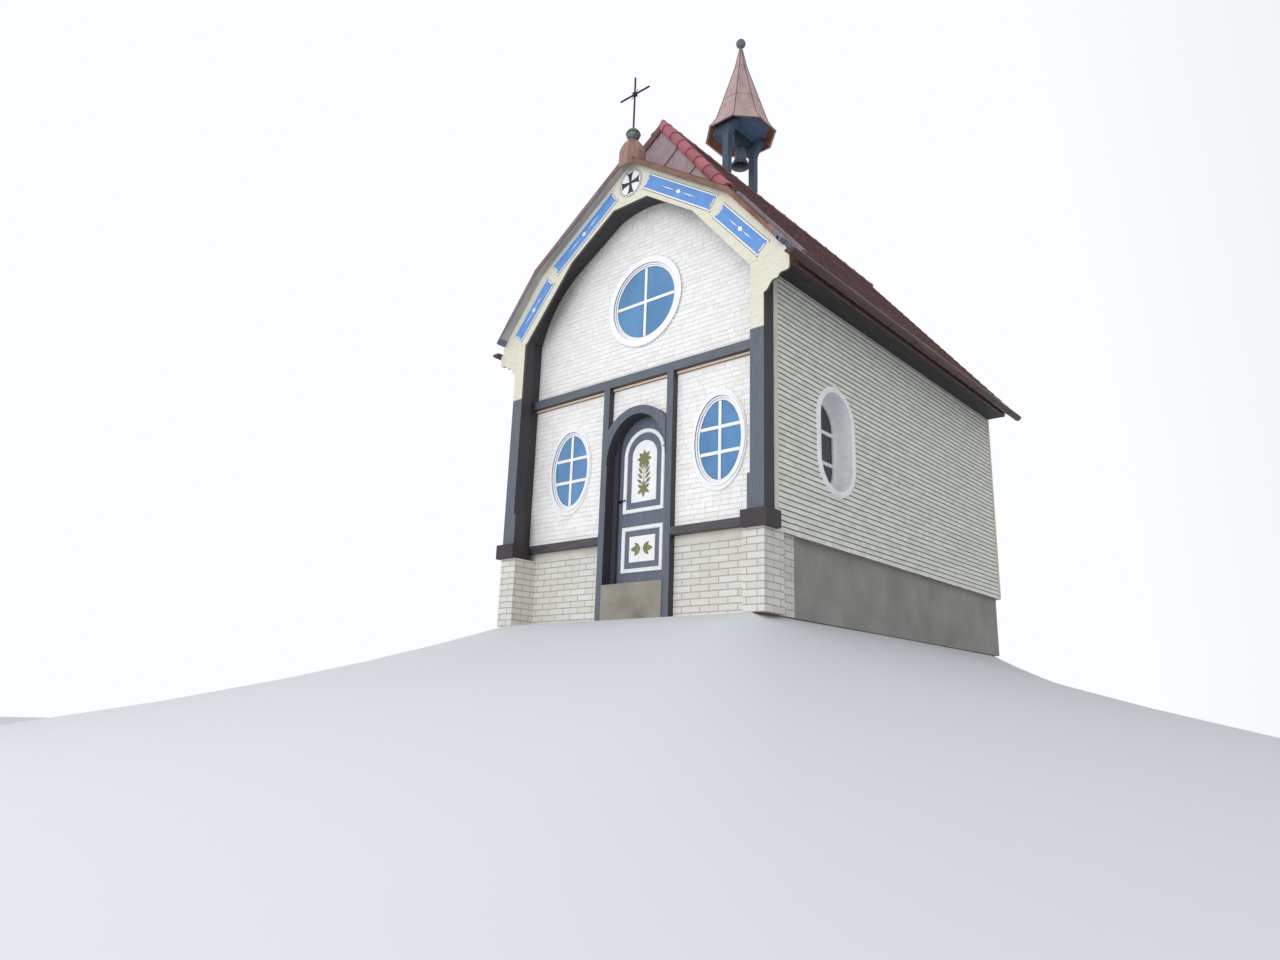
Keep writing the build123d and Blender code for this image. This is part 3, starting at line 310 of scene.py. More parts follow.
def canopy_finish(name, dark, middle, pale):
    """One folded verge: browned copper above and in front, grey painted boards where it faces down."""
    made, tree = new_finish(name, 0.45, 0.25)
    runs = mottle(tree, 70, (0.2, 1, 0.2), 5)
    copper = ramp(tree, runs, (0.28, dark), (0.5, middle), (0.74, pale))
    boards = ramp(tree, runs, (0.3, "#a3a19e"), (0.5, "#b0aeab"), (0.72, "#bdbbb7"))
    colour = blend(tree, facing_down(tree), copper, boards)
    return finish_with(made, blend(tree, beyond(tree, 2.208), colour, VERGE_FOOT), runs, 0.6)


def glass_finish():
    """Float glass, mirror smooth, with painted light: a painted sky reflection of pale blue in front, and the
    painted shade of the unlit room at the sides.
    """
    made, tree = new_finish("window_float_glass", 0.06, **{"Specular IOR Level": 0.6, "IOR": 1.5})
    cloud = mottle(tree, 380, (1, 1, 0.6), 2)
    # Painted reflection of the sky in front, painted shade of the dark room at the sides.
    sky = ramp(tree, cloud, (0.3, "#497ba9"), (0.7, "#5992c5"))
    room = ramp(tree, cloud, (0.3, "#1f262b"), (0.7, "#3a454c"))
    return finish_with(made, blend(tree, beyond(tree, 1.55), sky, room))


def brick_finish():
    """Plinth brickwork under thick white limewash: courses of 65 mm bricks show as shallow joints."""
    made, tree = new_finish("limewashed_brickwork", 0.85)
    along = reckon(tree, "ADD", axis_of(tree, "X"), axis_of(tree, "Y"))
    laid = put(tree, "ShaderNodeCombineXYZ", {"X": along, "Y": axis_of(tree, "Z")})
    bricks = put(tree, "ShaderNodeTexBrick",
                 {"Vector": laid, "Scale": 1.0, "Brick Width": 0.25, "Row Height": 0.075,
                  "Mortar Size": 0.006, "Mortar Smooth": 0.4, "Color1": linear("#e6e4de"),
                  "Color2": linear("#d8d5cd"), "Mortar": linear("#b3afa6")}, None).outputs
    damp = patches(tree, mottle(tree, 400), 0.48, 0.75, "#707070")
    relief = reckon(tree, "MULTIPLY_ADD", bricks["Fac"], -1.0, mottle(tree, 15))
    return finish_with(made, blend(tree, damp, bricks["Color"], "#9c978c"), relief, 4.0)


# The left verge's greyer copper is a painted sky reflection; the right one keeps the browned copper.
canopy_painted_sky_reflection = canopy_finish("copper_painted_sky_reflection_over_boards", "#5f5153", "#75666a", "#8b7c80")
browned_canopy = canopy_finish("browned_copper_over_boards", "#67493f", "#805d4d", "#9a755f")
window_pane = glass_finish()

for cad_finish, node_names in (
        (brick_finish(), "front_plinths"), (plinth_plaster, "side_plinths rear_plinth"),
        (floor_stone, "floor_slab threshold"),
        (wall_plaster, "front_wall_left front_wall_right front_wall_over_door front_gable_wall"),
        (wall_plaster, "side_wall_left side_wall_right rear_wall"),
        (post_paint, "corner_posts"), (slate_paint, "corner_returns door_posts door_arch"),
        (beam_paint, "cross_beam"), (sill_paint, "sill_beams"), (leaf_paint, "door_leaf"),
        (latch_steel, "door_hinges door_handle"), (board_paint, "gable_board"), (lining_shade_paint, "arch_lining"),
        (canopy_painted_sky_reflection, "canopy_left"), (browned_canopy, "canopy_right"), (hip_copper, "front_hip"),
        (roof_clay, "roof_left roof_right ridge_cap"), (cap_clay, "hip_cap_left hip_cap_right"),
        (soffit_stain, "eaves"), (gutter_metal, "gutters"),
        (white_paint, "round_window oval_windows side_windows"), (window_pane, "window_glass"),
        (post_stain, "turret_posts"), (hood_copper, "spire_hood"), (ball_copper, "spire_finial cross_ball"),
        (bell_iron, "bell_yoke bell_clapper"), (bell_bronze, "bell"), (cap_copper, "cross_pedestal"),
        (wrought_iron, "roof_cross")):
    for node_name in node_names.split():
        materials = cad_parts[node_name].data.materials
        materials.clear()
        materials.append(cad_finish)


def shapes(count):
    """As many empty shapes to build pieces in."""
    return [bmesh.new() for _ in range(count)]


def plain_mesh(name, shape):
    """Mesh of a bmesh with its doubles merged and its normals outward; the bmesh goes."""
    bmesh.ops.remove_doubles(shape, verts=shape.verts, dist=1e-6)
    bmesh.ops.recalc_face_normals(shape, faces=shape.faces)
    mesh = bpy.data.meshes.new(name)
    shape.to_mesh(mesh)
    shape.free()
    return mesh


def stand(name, data):
    """A new object in the scene."""
    thing = bpy.data.objects.new(name, data)
    bpy.context.scene.collection.objects.link(thing)
    return thing


def make_piece(name, mesh, finish, replaced=(), body="building"):
    """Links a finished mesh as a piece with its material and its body."""
    if isinstance(mesh, bmesh.types.BMesh):
        mesh = plain_mesh(name, mesh)
    mesh.name = name
    mesh.materials.clear()
    mesh.materials.append(finish)
    piece = stand(name, mesh)
    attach(piece, body)
    if replaced:
        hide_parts(*replaced)


def on_front(face_y):
    """Places (across, up, out) on a plane that faces the front."""
    return lambda u, v, out: Vector((u, face_y - out, v))


def on_flank(face_x):
    """Places (rearward, up, out) on a side plane that faces away from the middle."""
    side = 1 if face_x > 0 else -1
    return lambda u, v, out: Vector((face_x + side * out, u, v))


def arc(u, v, half_u, half_v=None, low=0.0, high=pi, count=32):
    """Points round (u, v) from one angle to another, both ends included."""
    half_v = half_u if half_v is None else half_v
    turns = [low + (high - low) * i / count for i in range(count + 1)]
    return [(u + half_u * cos(turn), v + half_v * sin(turn)) for turn in turns]


def box_outline(u0, u1, v0, v1):
    return [(u0, v0), (u1, v0), (u1, v1), (u0, v1)]


def oval_outline(u, v, half_u, half_v=None, count=48):
    return arc(u, v, half_u, half_v, 0.0, 2 * pi, count)[:-1]


def slot_outline(u, v, half_u, half_v):
    """Straight sides with half-round ends above and below."""
    reach = half_v - half_u
    return arc(u, v + reach, half_u, count=48) + arc(u, v - reach, half_u, None, pi, 2 * pi, 48)


def arch_outline(half, foot, spring):
    """Upright opening with a half-round head, centred on the door."""
    return [(-half, foot), (half, foot)] + arc(0.0, spring, half)


def turned(points, centre, angle):
    """The points turned about the origin and moved to the centre."""
    along, across = Vector((cos(angle), sin(angle))), Vector((-sin(angle), cos(angle)))
    return [tuple(Vector(centre) + along * a + across * b) for a, b in points]


def inset_loop(outline, distance):
    """The outline moved inwards, mitred at its corners. Outlines run counter-clockwise."""
    loop = []
    for before, here, after in zip(outline[-1:] + outline[:-1], outline, outline[1:] + outline[:1]):
        a = Vector((here[0] - before[0], here[1] - before[1])).normalized()
        b = Vector((after[0] - here[0], after[1] - here[1])).normalized()
        na, nb = Vector((-a.y, a.x)), Vector((-b.y, b.x))
        mitre = (na + nb) / max(0.25, 1 + na.dot(nb))
        loop.append((here[0] + mitre.x * distance, here[1] + mitre.y * distance))
    return loop


def loft(mesh, rings, caps=(0, -1), wrap=False):
    """Adds closed rings of points with faces between them. The rings in caps get a face of their own, and
    wrap joins the last ring to the first."""
    rings = [[mesh.verts.new(point) for point in ring] for ring in rings]
    for ring, following in zip(rings, rings[1:] + rings[:int(wrap)]):
        for i in range(len(ring)):
            j = (i + 1) % len(ring)
            mesh.faces.new((ring[i], ring[j], following[j], following[i]))
    for end in caps:
        mesh.faces.new(rings[end])
    return rings


def stepped(place, outline, steps):
    """Rings of an outline on a plane, one for each (inset, height out)."""
    return [[place(u, v, out) for u, v in inset_loop(outline, inset)] for inset, out in steps]


def add_frame(mesh, place, outline, profile):
    """A moulding that follows a closed outline: profile is a closed line of (inset, height out)."""
    loft(mesh, stepped(place, outline, profile), (), True)


def add_slab(mesh, place, outline, low, high, edge=0.0):
    """A plate with the given outline, from low to high out of the plane, its front edge eased."""
    steps = [(0.0, low), (0.0, high - edge)]
    loft(mesh, stepped(place, outline, steps + [(edge, high)] if edge else steps))


def add_band(mesh, place, outer, inner, low, high):
    """A flat band between two open lines of as many points each, from low to high out of the plane."""
    loft(mesh, [[place(*a, low), place(*a, high), place(*b, high), place(*b, low)]
                for a, b in zip(outer, inner)])


def trim(mesh, point, normal):
    """Cuts off what lies on the normal's side of a plane and closes the cut."""
    work = bmesh.new()
    work.from_mesh(mesh)
    cut = bmesh.ops.bisect_plane(work, geom=work.verts[:] + work.edges[:] + work.faces[:], plane_co=point,
                                 plane_no=normal, clear_outer=True)
    edges = [e for e in cut["geom_cut"] if isinstance(e, bmesh.types.BMEdge) and e.is_boundary]
    bmesh.ops.holes_fill(work, edges=edges, sides=0)
    work.to_mesh(mesh)
    work.free()


def geometry_tree(name, **inputs):
    """A geometry node tree and the sockets that it is given."""
    tree = bpy.data.node_groups.new(name, "GeometryNodeTree")
    for label, kind in inputs.items():
        tree.interface.new_socket(label, in_out="INPUT", socket_type="NodeSocket" + kind)
    tree.interface.new_socket("Geometry", in_out="OUTPUT", socket_type="NodeSocketGeometry")
    return tree, put(tree, "NodeGroupInput", None, None).outputs


def give_back(tree, geometry):
    """Ends a geometry node tree: real geometry goes out."""
    real = put(tree, "GeometryNodeRealizeInstances", {"Geometry": geometry})
    put(tree, "NodeGroupOutput", {"Geometry": real}, None)
    return tree


def laying_tree():
    """Lays copies of one shape on points that carry their own size and turn, each a little askew."""
    tree, given = geometry_tree("laid_pieces", Points="Geometry", Shape="Object", Askew="Float", Seed="Int")
    size, turn = [put(tree, "GeometryNodeInputNamedAttribute", {"Name": name}, data_type="FLOAT_VECTOR")
                  for name in ("size", "turn")]
    least = reckon(tree, "MULTIPLY", given["Askew"], -1.0)
    low, high = [put(tree, "ShaderNodeCombineXYZ", {"X": reach, "Y": reach, "Z": reach})
                 for reach in (least, given["Askew"])]
    wobble = put(tree, "FunctionNodeRandomValue", {0: low, 1: high, "Seed": given["Seed"]},
                 data_type="FLOAT_VECTOR")
    towards, tilt = [put(tree, "FunctionNodeEulerToRotation", {"Euler": angles}) for angles in (turn, wobble)]
    askew = put(tree, "FunctionNodeRotateRotation", {"Rotation": towards, "Rotate By": tilt},
                rotation_space="LOCAL")
    shape = put(tree, "GeometryNodeObjectInfo", {"Object": given["Shape"]}, "Geometry")
    laid = put(tree, "GeometryNodeInstanceOnPoints",
               {"Points": given["Points"], "Instance": shape, "Rotation": askew, "Scale": size})
    tone = put(tree, "FunctionNodeRandomValue", {"Seed": given["Seed"]}, 1, data_type="FLOAT")
    marked = put(tree, "GeometryNodeStoreNamedAttribute", {"Geometry": laid, "Name": "shade", "Value": tone},
                 data_type="FLOAT", domain="INSTANCE")
    return give_back(tree, marked)


def drawing_tree():
    """Draws a round or flattened bar along every curve it is given."""
    tree, given = geometry_tree("drawn_bars", Path="Geometry", Radius="Float", Sides="Int")
    section = put(tree, "GeometryNodeCurvePrimitiveCircle",
                  {"Resolution": given["Sides"], "Radius": given["Radius"]})
    bar = put(tree, "GeometryNodeCurveToMesh", {"Curve": given["Path"], "Profile Curve": section,
                                                "Fill Caps": True})
    return give_back(tree, bar)


LAYING, DRAWING = laying_tree(), drawing_tree()


def evaluated(carrier, tree, values):
    """Runs a node tree on an object and gives the result as a plain mesh; the object goes."""
    modifier = carrier.modifiers.new("make", "NODES")
    modifier.node_group = tree
    for item in tree.interface.items_tree:
        if item.in_out == "INPUT" and item.name in values:
            modifier[item.identifier] = values[item.name]
    carrier.update_tag()
    bpy.context.view_layer.update()
    seen = carrier.evaluated_get(bpy.context.evaluated_depsgraph_get())
    mesh = bpy.data.meshes.new_from_object(seen)
    bpy.data.objects.remove(carrier)
    return mesh


def lay(points, shape, askew, seed):
    """Mesh of copies of shape, a mesh, on points of (place, size, turn)."""
    pattern = stand("pattern", shape)
    cloud = bpy.data.meshes.new("points")
    cloud.from_pydata([tuple(p[0]) for p in points], [], [])
    for key, column in (("size", 1), ("turn", 2)):
        values = cloud.attributes.new(key, "FLOAT_VECTOR", "POINT")
        values.data.foreach_set("vector", [c for p in points for c in p[column]])
    mesh = evaluated(stand("laying", cloud), LAYING, {"Shape": pattern, "Askew": askew, "Seed": seed})
    bpy.data.objects.remove(pattern)
    return mesh


def draw(lines, radius, sides=8, closed=False):
    """Mesh of round bars along lines of points."""
    path = bpy.data.curves.new("path", "CURVE")
    path.dimensions = "3D"
    for line in lines:
        spline = path.splines.new("POLY")
        spline.points.add(len(line) - 1)
        spline.use_cyclic_u = closed
        for knot, place in zip(spline.points, line):
            knot.co = (*place, 1.0)
    return evaluated(stand("drawing", path), DRAWING, {"Radius": radius, "Sides": sides})


def split_shingle(ease, rise):
    """Wedge one unit wide and high, thick at its butt and thin at its head, with an eased butt."""
    shape = bmesh.new()
    section = [(0.0, 0.0), (ease - 1.0, 0.0), (-1.0, rise), (-0.3, 1.0), (0.0, 1.0)]
    loft(shape, [[(x, y, z) for y, z in section] for x in (-0.5, 0.5)])
    return plain_mesh("shingle", shape)


def shingle_rows(chance, v_span, pitch, widths, spans, place, turn=(0, 0, 0), thick=0.010, gap=0.004):
    """Points of shingle rows: random widths with broken joints on the spans that each row leaves open."""
    points = []
    for row in range(int((v_span[1] - v_span[0]) / pitch) + 1):
        v = v_span[0] + row * pitch
        for low, high in spans(v, v + pitch):
            width = chance.uniform(0.03, widths[1])
            while low < high:
                end = low + width if high - low - width > 0.03 else high
                drop = chance.uniform(-0.0015, 0.0015)
                points.append((place((low + end) / 2, v + drop, 0.0),
                               (end - low - gap, thick * chance.uniform(0.85, 1.1), pitch * 1.2), turn))
                low, width = end, chance.uniform(*widths)
    return points


def beside(span, row, centre, half, reach=0.0):
    """What a row leaves open of a span on both sides of an oval, or of a slot with straight sides."""
    apart = max(row[0] - centre[1], centre[1] - row[1], 0.0) - reach
    if apart >= half[1]:
        return [span]
    out = half[0] * sqrt(1 - max(apart, 0.0) ** 2 / half[1] ** 2)
    parts = ((span[0], min(span[1], centre[0] - out)), (max(span[0], centre[0] + out), span[1]))
    return [(low, high) for low, high in parts if high - low > 0.02]


def three_point_arc(start, middle, end, count=12):
    """Points of the arc through three points, without the last one."""
    (ax, ay), (bx, by), (cx, cy) = start, middle, end
    twice = 2 * (ax * (by - cy) + bx * (cy - ay) + cx * (ay - by))
    a, b, c = ax * ax + ay * ay, bx * bx + by * by, cx * cx + cy * cy
    x = (a * (by - cy) + b * (cy - ay) + c * (ay - by)) / twice
    y = (a * (cx - bx) + b * (ax - cx) + c * (bx - ax)) / twice
    return arc(x, y, hypot(ax - x, ay - y), None, atan2(ay - y, ax - x), atan2(cy - y, cx - x), count)[:-1]


def lining_line():
    """Inner line of the arch lining, from its right foot over the crown to its left foot."""
    side = [(1.6, BREAK_Z - 0.337), (1.255, APEX - 1.255 * tan(CANOPY_PITCH) - 0.244)]
    upper = (0.447, APEX - 0.447 * tan(CANOPY_PITCH) - 0.303)
    half = three_point_arc((1.87, LINING_FOOT), *side) + [side[1]]
    crown = three_point_arc(upper, (0.0, APEX - 0.531), (-upper[0], upper[1]))
    return half + crown + [(-x, z) for x, z in [upper] + half[::-1]]


def lining_reach(height):
    """Half width of the gable wall under the arch lining at a height."""
    line = [(x, z) for x, z in lining_line() if x >= 0]
    for (x0, z0), (x1, z1) in zip(line, line[1:]):
        if z0 <= height <= z1:
            return x0 + (x1 - x0) * (height - z0) / (z1 - z0) + 0.012
    return PANEL_OUT if height < 4 else 0.0


shingle, worn_shingle = split_shingle(0.14, 0.09), split_shingle(0.30, 0.12)
front = on_front(WALL_Y)


def dress_front():
    """Shingles of the two window panels, over the door and in the gable."""
    chance = random.Random(11)
    head = BEAM_FOOT - 0.03 - FRONT_PITCH * 0.5
    (u, v), gable_top = OVAL_WINDOW, 5.32
    points = []
    for foot, top, widths, span, centre, half in (
            (SILL_TOP, head, (0.10, 0.185), (-PANEL_OUT, -PANEL_IN), (-u, v), (0.335, 0.505)),
            (SILL_TOP, head, (0.10, 0.185), (PANEL_IN, PANEL_OUT - BATTEN), (u, v), (0.335, 0.505)),
            (ARCH_Z + 0.1, head, (0.09, 0.17), (-DOOR_PANEL, DOOR_PANEL - BATTEN), (0, ARCH_Z), (0.44, 0.44)),
            (BEAM_TOP, gable_top, (0.09, 0.17), None, ROUND_WINDOW, (0.535, 0.535))):

        def spans(low, high):
            reach = lining_reach(low)
            return beside(span or (-reach, reach), (low, high), centre, half)

        points += shingle_rows(chance, (foot, top), FRONT_PITCH, widths, spans, front)
    make_piece("front_shingles", lay(points, shingle, 0.006, 3), lime_shingle)


def worn_rows(chance, top, spans, place, turn):
    """Points of the thicker rows of the side and rear walls, from the plinth up."""
    return shingle_rows(chance, (PLINTH_TOP - 0.012, top), SIDE_PITCH, (0.07, 0.17), spans, place, turn,
                        0.014, 0.002)


def dress_flanks():
    """Shingles of the two long walls, clear of their windows."""
    for side, label in SIDES:
        points = worn_rows(
            random.Random(20 + side), SOFFIT + 0.01,
            lambda *row: beside((POST_Y + 0.305, REAR_Y - 0.03), row, SIDE_WINDOW, (0.38, 0.38), 0.225),
            on_flank(side * WALL_X), (0, 0, side * pi / 2))
        make_piece("side_shingles_" + label, lay(points, worn_shingle, 0.004, 5 + side), oil_shingle)


def dress_rear():
    """Shingles of the rear wall up under the roof."""

    def under_roof(low, high):
        reach = min(WALL_X - 0.03, (RIDGE - 0.13 - low) / tan(ROOF_PITCH))
        return [(-reach, reach)] if reach > 0.05 else []

    points = worn_rows(random.Random(31), RIDGE - 0.2, under_roof,
                       lambda u, v, out: Vector((u, REAR_Y + out, v)), (0, 0, pi))
    mesh = lay(points, worn_shingle, 0.004, 9)
    for side in (-1, 1):
        trim(mesh, (0, 0, RIDGE - 0.07 / cos(ROOF_PITCH)), (side * sin(ROOF_PITCH), 0, cos(ROOF_PITCH)))
    make_piece("rear_shingles", mesh, oil_shingle)


def corner_boards():
    """Flat boards that close the shingle rows at the corners, and the battens round the front panels."""
    trims, whites, heads, band = shapes(4)
    for side in (-1, 1):
        flank = on_flank(side * WALL_X)
        for low, high, out in ((POST_Y + 0.224, POST_Y + 0.305, 0.010),
                               (REAR_Y - 0.03, REAR_Y + 0.02, 0.022)):
            add_slab(trims, flank, box_outline(low, high, PLINTH_TOP, SOFFIT), -0.01, out, 0.003)
    make_piece("corner_boards", trims, trim_paint)
    head = BEAM_FOOT - 0.03
    for edge, foot in ((DOOR_PANEL, 2.2), (PANEL_OUT, SILL_TOP)):
        add_slab(whites, front, box_outline(edge - BATTEN, edge, foot, head), -0.005, 0.024, 0.003)
    make_piece("panel_battens", whites, white_paint)
    for low, high in ((-PANEL_OUT, -PANEL_IN), (-DOOR_PANEL, DOOR_PANEL), (PANEL_IN, PANEL_OUT)):
        add_slab(heads, front, box_outline(low, high, head, BEAM_FOOT), -0.005, 0.03, 0.004)
    make_piece("beam_battens", heads, batten_paint)
    line = lining_line()
    inner = [(x * 0.989, z - 0.016) for x, z in line]
    inner[0], inner[-1] = (1.85, LINING_FOOT), (-1.85, LINING_FOOT)
    add_band(band, front, line, inner, -0.005, 0.020)
    make_piece("lining_batten", band, lining_trim)


def add_bars(mesh, place, low, high, centre, half, reach, *rails):
    """Glazing bars with eased front edges: one upright, and rails that are parted at it."""
    (u, v), thick = centre, 0.021
    bars = [(u - thick, u + thick, v - half, v + half)]
    for rail in rails:
        for end in (u - reach, u + reach):
            inner = u - thick if end < u else u + thick
            bars.append((min(end, inner), max(end, inner), v + rail - thick, v + rail + thick))
    for bar in bars:
        add_slab(mesh, place, box_outline(*bar), low, high, 0.005)


def dress_windows():
    """Panes, stepped rings and glazing bars: a cross in the round window, two rails elsewhere."""
    rings, panes, flanks = shapes(3)
    u, v = OVAL_WINDOW
    for centre, half, brim, bars in ((ROUND_WINDOW, (0.47, 0.47), 0.130, (0.466, 0.466, 0.0)),
                                     ((-u, v), (0.287, 0.463), 0.076, (0.459, 0.270, -0.148, 0.148)),
                                     ((u, v), (0.287, 0.463), 0.076, (0.459, 0.270, -0.148, 0.148))):
        outline = oval_outline(*centre, *half, 96)
        add_frame(rings, front, outline, [
            (0.0, -0.018), (0.0, 0.003), (-0.003, 0.006), (-0.022, 0.006), (-0.023, 0.017), (-0.045, 0.017),
            (-0.047, 0.032), (-0.052, 0.036), (-brim + 0.004, 0.036), (-brim, 0.031), (-brim, 0.002)])
        add_slab(panes, front, outline, -0.014, -0.006)
        add_bars(rings, front, -0.010, 0.006, centre, *bars)
    make_piece("front_sashes", rings, sash_paint)
    make_piece("front_panes", panes, window_pane)
    for side in (-1, 1):
        place = on_flank(side * WALL_X)
        add_bars(flanks, place, -0.236, -0.205, SIDE_WINDOW, 0.545, 0.325, -0.19, 0.19)
        add_frame(flanks, place, slot_outline(*SIDE_WINDOW, 0.375, 0.60),
                  [(-0.035, 0.018), (-0.035, 0.034), (-0.022, 0.036), (-0.012, 0.030), (0.006, 0.030),
                   (0.010, 0.018)])
        add_frame(flanks, place, slot_outline(*SIDE_WINDOW, 0.330, 0.555),
                  [(0.0, -0.225), (0.0, -0.200), (0.010, -0.196), (0.016, -0.204), (0.016, -0.225)])
    make_piece("side_sashes", flanks, white_paint)


def scrolled_plate(half_length, half_width):
    """Plate outline: straight ends set back a little between small ears at the four corners."""
    quarter = [(half_length + a, half_width + b) for a, b in (
        (-0.006, -0.030), (0.010, -0.022), (0.014, -0.004), (0.004, 0.010), (-0.010, 0.006), (-0.014, 0.0))]
    upper = quarter + [(-a, b) for a, b in reversed(quarter)]
    return upper + [(a, -b) for a, b in reversed(upper)]


def dress_board():
    """Four blue plates with a plain ornament, the disc with its cross, and the scribed lines of the board."""
    place = on_front(BOARD_Y)
    blue, white, dark, joints = shapes(4)
    half_width = 0.0825
    for side in (-1, 1):
        for start, end in (((0.257, 5.440), (1.331, 4.701)), ((1.388, 4.594), (2.003, 3.890))):
            a, b = [Vector((side * u, v)) for u, v in (start, end)][::side]
            angle = atan2(b.y - a.y, b.x - a.x)
            middle, half = (a + b) / 2, (b - a).length / 2 - 0.024
            for mesh, longer, wider, out, edge in (
                    (dark, 0.009, 0.024, 0.003, 0.0), (white, 0.003, 0.017, 0.005, 0.0),
                    (blue, -0.012, 0.0, 0.008, 0.002)):
                outline = turned(scrolled_plate(half + longer, half_width + wider), middle, angle)
                add_slab(mesh, place, outline, -0.002, out, edge)
            reach = half * 0.62
            for shift, length, thick in ((0, 0.045, 0.030), (-reach * 0.5, reach * 0.34, 0.006),
                                         (reach * 0.5, reach * 0.34, 0.006)):
                lozenge = [(shift - length, 0), (shift, -thick), (shift + length, 0), (shift, thick)]
                add_slab(white, place, turned(lozenge, middle, angle), 0.006, 0.0095)
        for (u, v), (u1, v1) in (((2.018, 4.171), (2.012, 4.042)), ((1.943, 3.791), (1.804, 3.774))):
            angle = atan2(v1 - v, side * (u1 - u))
            line = box_outline(0, hypot(u1 - u, v1 - v), -0.0022, 0.0022)
            add_slab(joints, place, turned(line, (side * u, v), angle), -0.001, 0.0012)
    hub = (0, 5.510)
    add_slab(dark, place, oval_outline(*hub, 0.190), -0.002, 0.002)
    add_slab(white, place, oval_outline(*hub, 0.183), -0.002, 0.004)
    add_frame(dark, place, oval_outline(*hub, 0.172),
              [(0, 0.002), (0, 0.0055), (0.007, 0.0055), (0.007, 0.002)])
    arm = [(0, -0.014), (0.10, -0.030), (0.148, -0.055), (0.140, 0), (0.148, 0.055), (0.10, 0.030),
           (0, 0.014)]
    for turn in range(4):
        add_slab(dark, place, turned(arm, hub, turn * pi / 2 + 0.06), 0.003, 0.007 + 0.0004 * turn)
    make_piece("board_joints", joints, joint_paint)
    make_piece("board_plates", blue, plate_paint)
    make_piece("board_white_lines", white, white_paint)
    make_piece("board_dark_lines", dark, line_paint)


def dress_door():
    """White mouldings, the white inner panels and plain leaf ornaments on the leaf."""
    place = on_front(LEAF_Y)
    whites, olives, catch = shapes(3)

    def add_leaf(foot, angle, length, width, out):
        """Pointed leaf from a stalk point."""
        edge = [(length * i / 8, 0.5 * width * sin(pi * i / 8)) for i in range(9)]
        leaf = [(a, -b) for a, b in edge] + edge[7:0:-1]
        add_slab(olives, place, turned(leaf, foot, angle), 0.006, out)

    bead = [(-0.003, 0.002), (-0.003, 0.012), (0.006, 0.019), (0.020, 0.015), (0.034, 0.019), (0.045, 0.012),
            (0.048, 0.002)]
    add_frame(whites, place, arch_outline(0.317, 1.320, ARCH_Z - 0.075), bead)
    add_frame(whites, place, box_outline(-0.317, 0.317, 0.60, 1.146), bead)
    add_slab(whites, place, arch_outline(0.195, 1.445, 2.010), -0.002, 0.008, 0.004)
    add_slab(whites, place, box_outline(-0.2, 0.2, 0.72, 1.03), -0.002, 0.008, 0.004)
    # Leaves lie in thin steps over each other, so that none shares a face with its neighbour
    for count, v, size in ((8, 1.97, 0.115), (6, 1.60, 0.105)):
        for i in range(count):
            add_leaf((0, v), 2 * pi * i / count + pi / 2, size, size * 0.42, 0.011 + 0.0004 * i)
    for side in (-1, 1):
        for i in range(4):
            add_leaf((side * 0.02, 1.66 + 0.06 * i), pi / 2 - side * (0.9 - 0.12 * i), 0.11, 0.035,
                     0.012 + 0.0004 * i)
        for lean, length, width, out in ((0, 0.15, 0.07, 0.012), (-0.7, 0.12, 0.045, 0.01272),
                                         (0.7, 0.12, 0.045, 0.01328)):
            add_leaf((side * 0.02, 0.875), pi / 2 - side * (pi / 2 + lean), length, width, out)
    add_slab(olives, place, box_outline(-0.006, 0.006, 1.53, 1.92), 0.006, 0.0095)
    add_slab(catch, place, box_outline(0.296, 0.338, 2.074, 2.086), 0.010, 0.026, 0.002)
    add_slab(catch, place, oval_outline(0.334, 2.070, 0.010, 0.016, 16), 0.0, 0.020, 0.003)
    make_piece("door_catch", catch, latch_steel, body="door")
    make_piece("door_mouldings", whites, white_paint, body="door")
    make_piece("door_ornament", olives, olive_paint, body="door")


def door_frame():
    """Arched board with an oval underside over the door, and the stop that the leaf shuts against."""
    low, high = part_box("door_arch")
    half, spring, rise, outer_rise, stop_half = high.x, 1.92, 0.575, 0.574, 0.39
    under = arc(0, spring, half, rise)
    outer = [(u, high.z - outer_rise + sqrt(outer_rise ** 2 - u ** 2)) for u, _ in under]
    face, depth = on_front(low.y), high.y - low.y
    board, stop = shapes(2)
    add_band(board, face, outer, under, -depth, 0.0)
    make_piece("door_arch_board", board, slate_paint, ("door_arch",))
    shut = [(stop_half, low.z)] + arc(0, ARCH_Z, stop_half) + [(-stop_half, low.z)]
    add_band(stop, face, [(half, low.z)] + outer + [(-half, low.z)], shut, -depth, -depth + 0.04)
    for side in (1, -1):
        reveal = box_outline(side * half, side * (half - 0.005), low.z, spring)
        add_slab(stop, face, reveal[::-side], -depth + 0.04, -0.095)
    # The stop takes the lining's painted shade.
    make_piece("door_stop", stop, lining_shade_paint)


def plain_tile():
    """Flat tile one unit wide and high, slightly dished, with an eased and rounded lower edge."""
    shape = bmesh.new()
    section = ((-0.5, 0.004, 0.07), (-0.25, 0.002, 0.02), (0.0, 0.001, 0.0), (0.25, 0.002, 0.02),
               (0.5, 0.004, 0.07))
    loft(shape, [[(x, -(out + lift), z + dip * lower) for x, out, dip in section]
                 + [(x, 0.014, z + 0.07 * lower) for x in (0.5, -0.5)]
                 for z, lift, lower in ((0.0, 0.0, 1), (0.02, 0.002, 1), (1.0, 0.002, 0))])
    return plain_mesh("tile", shape)


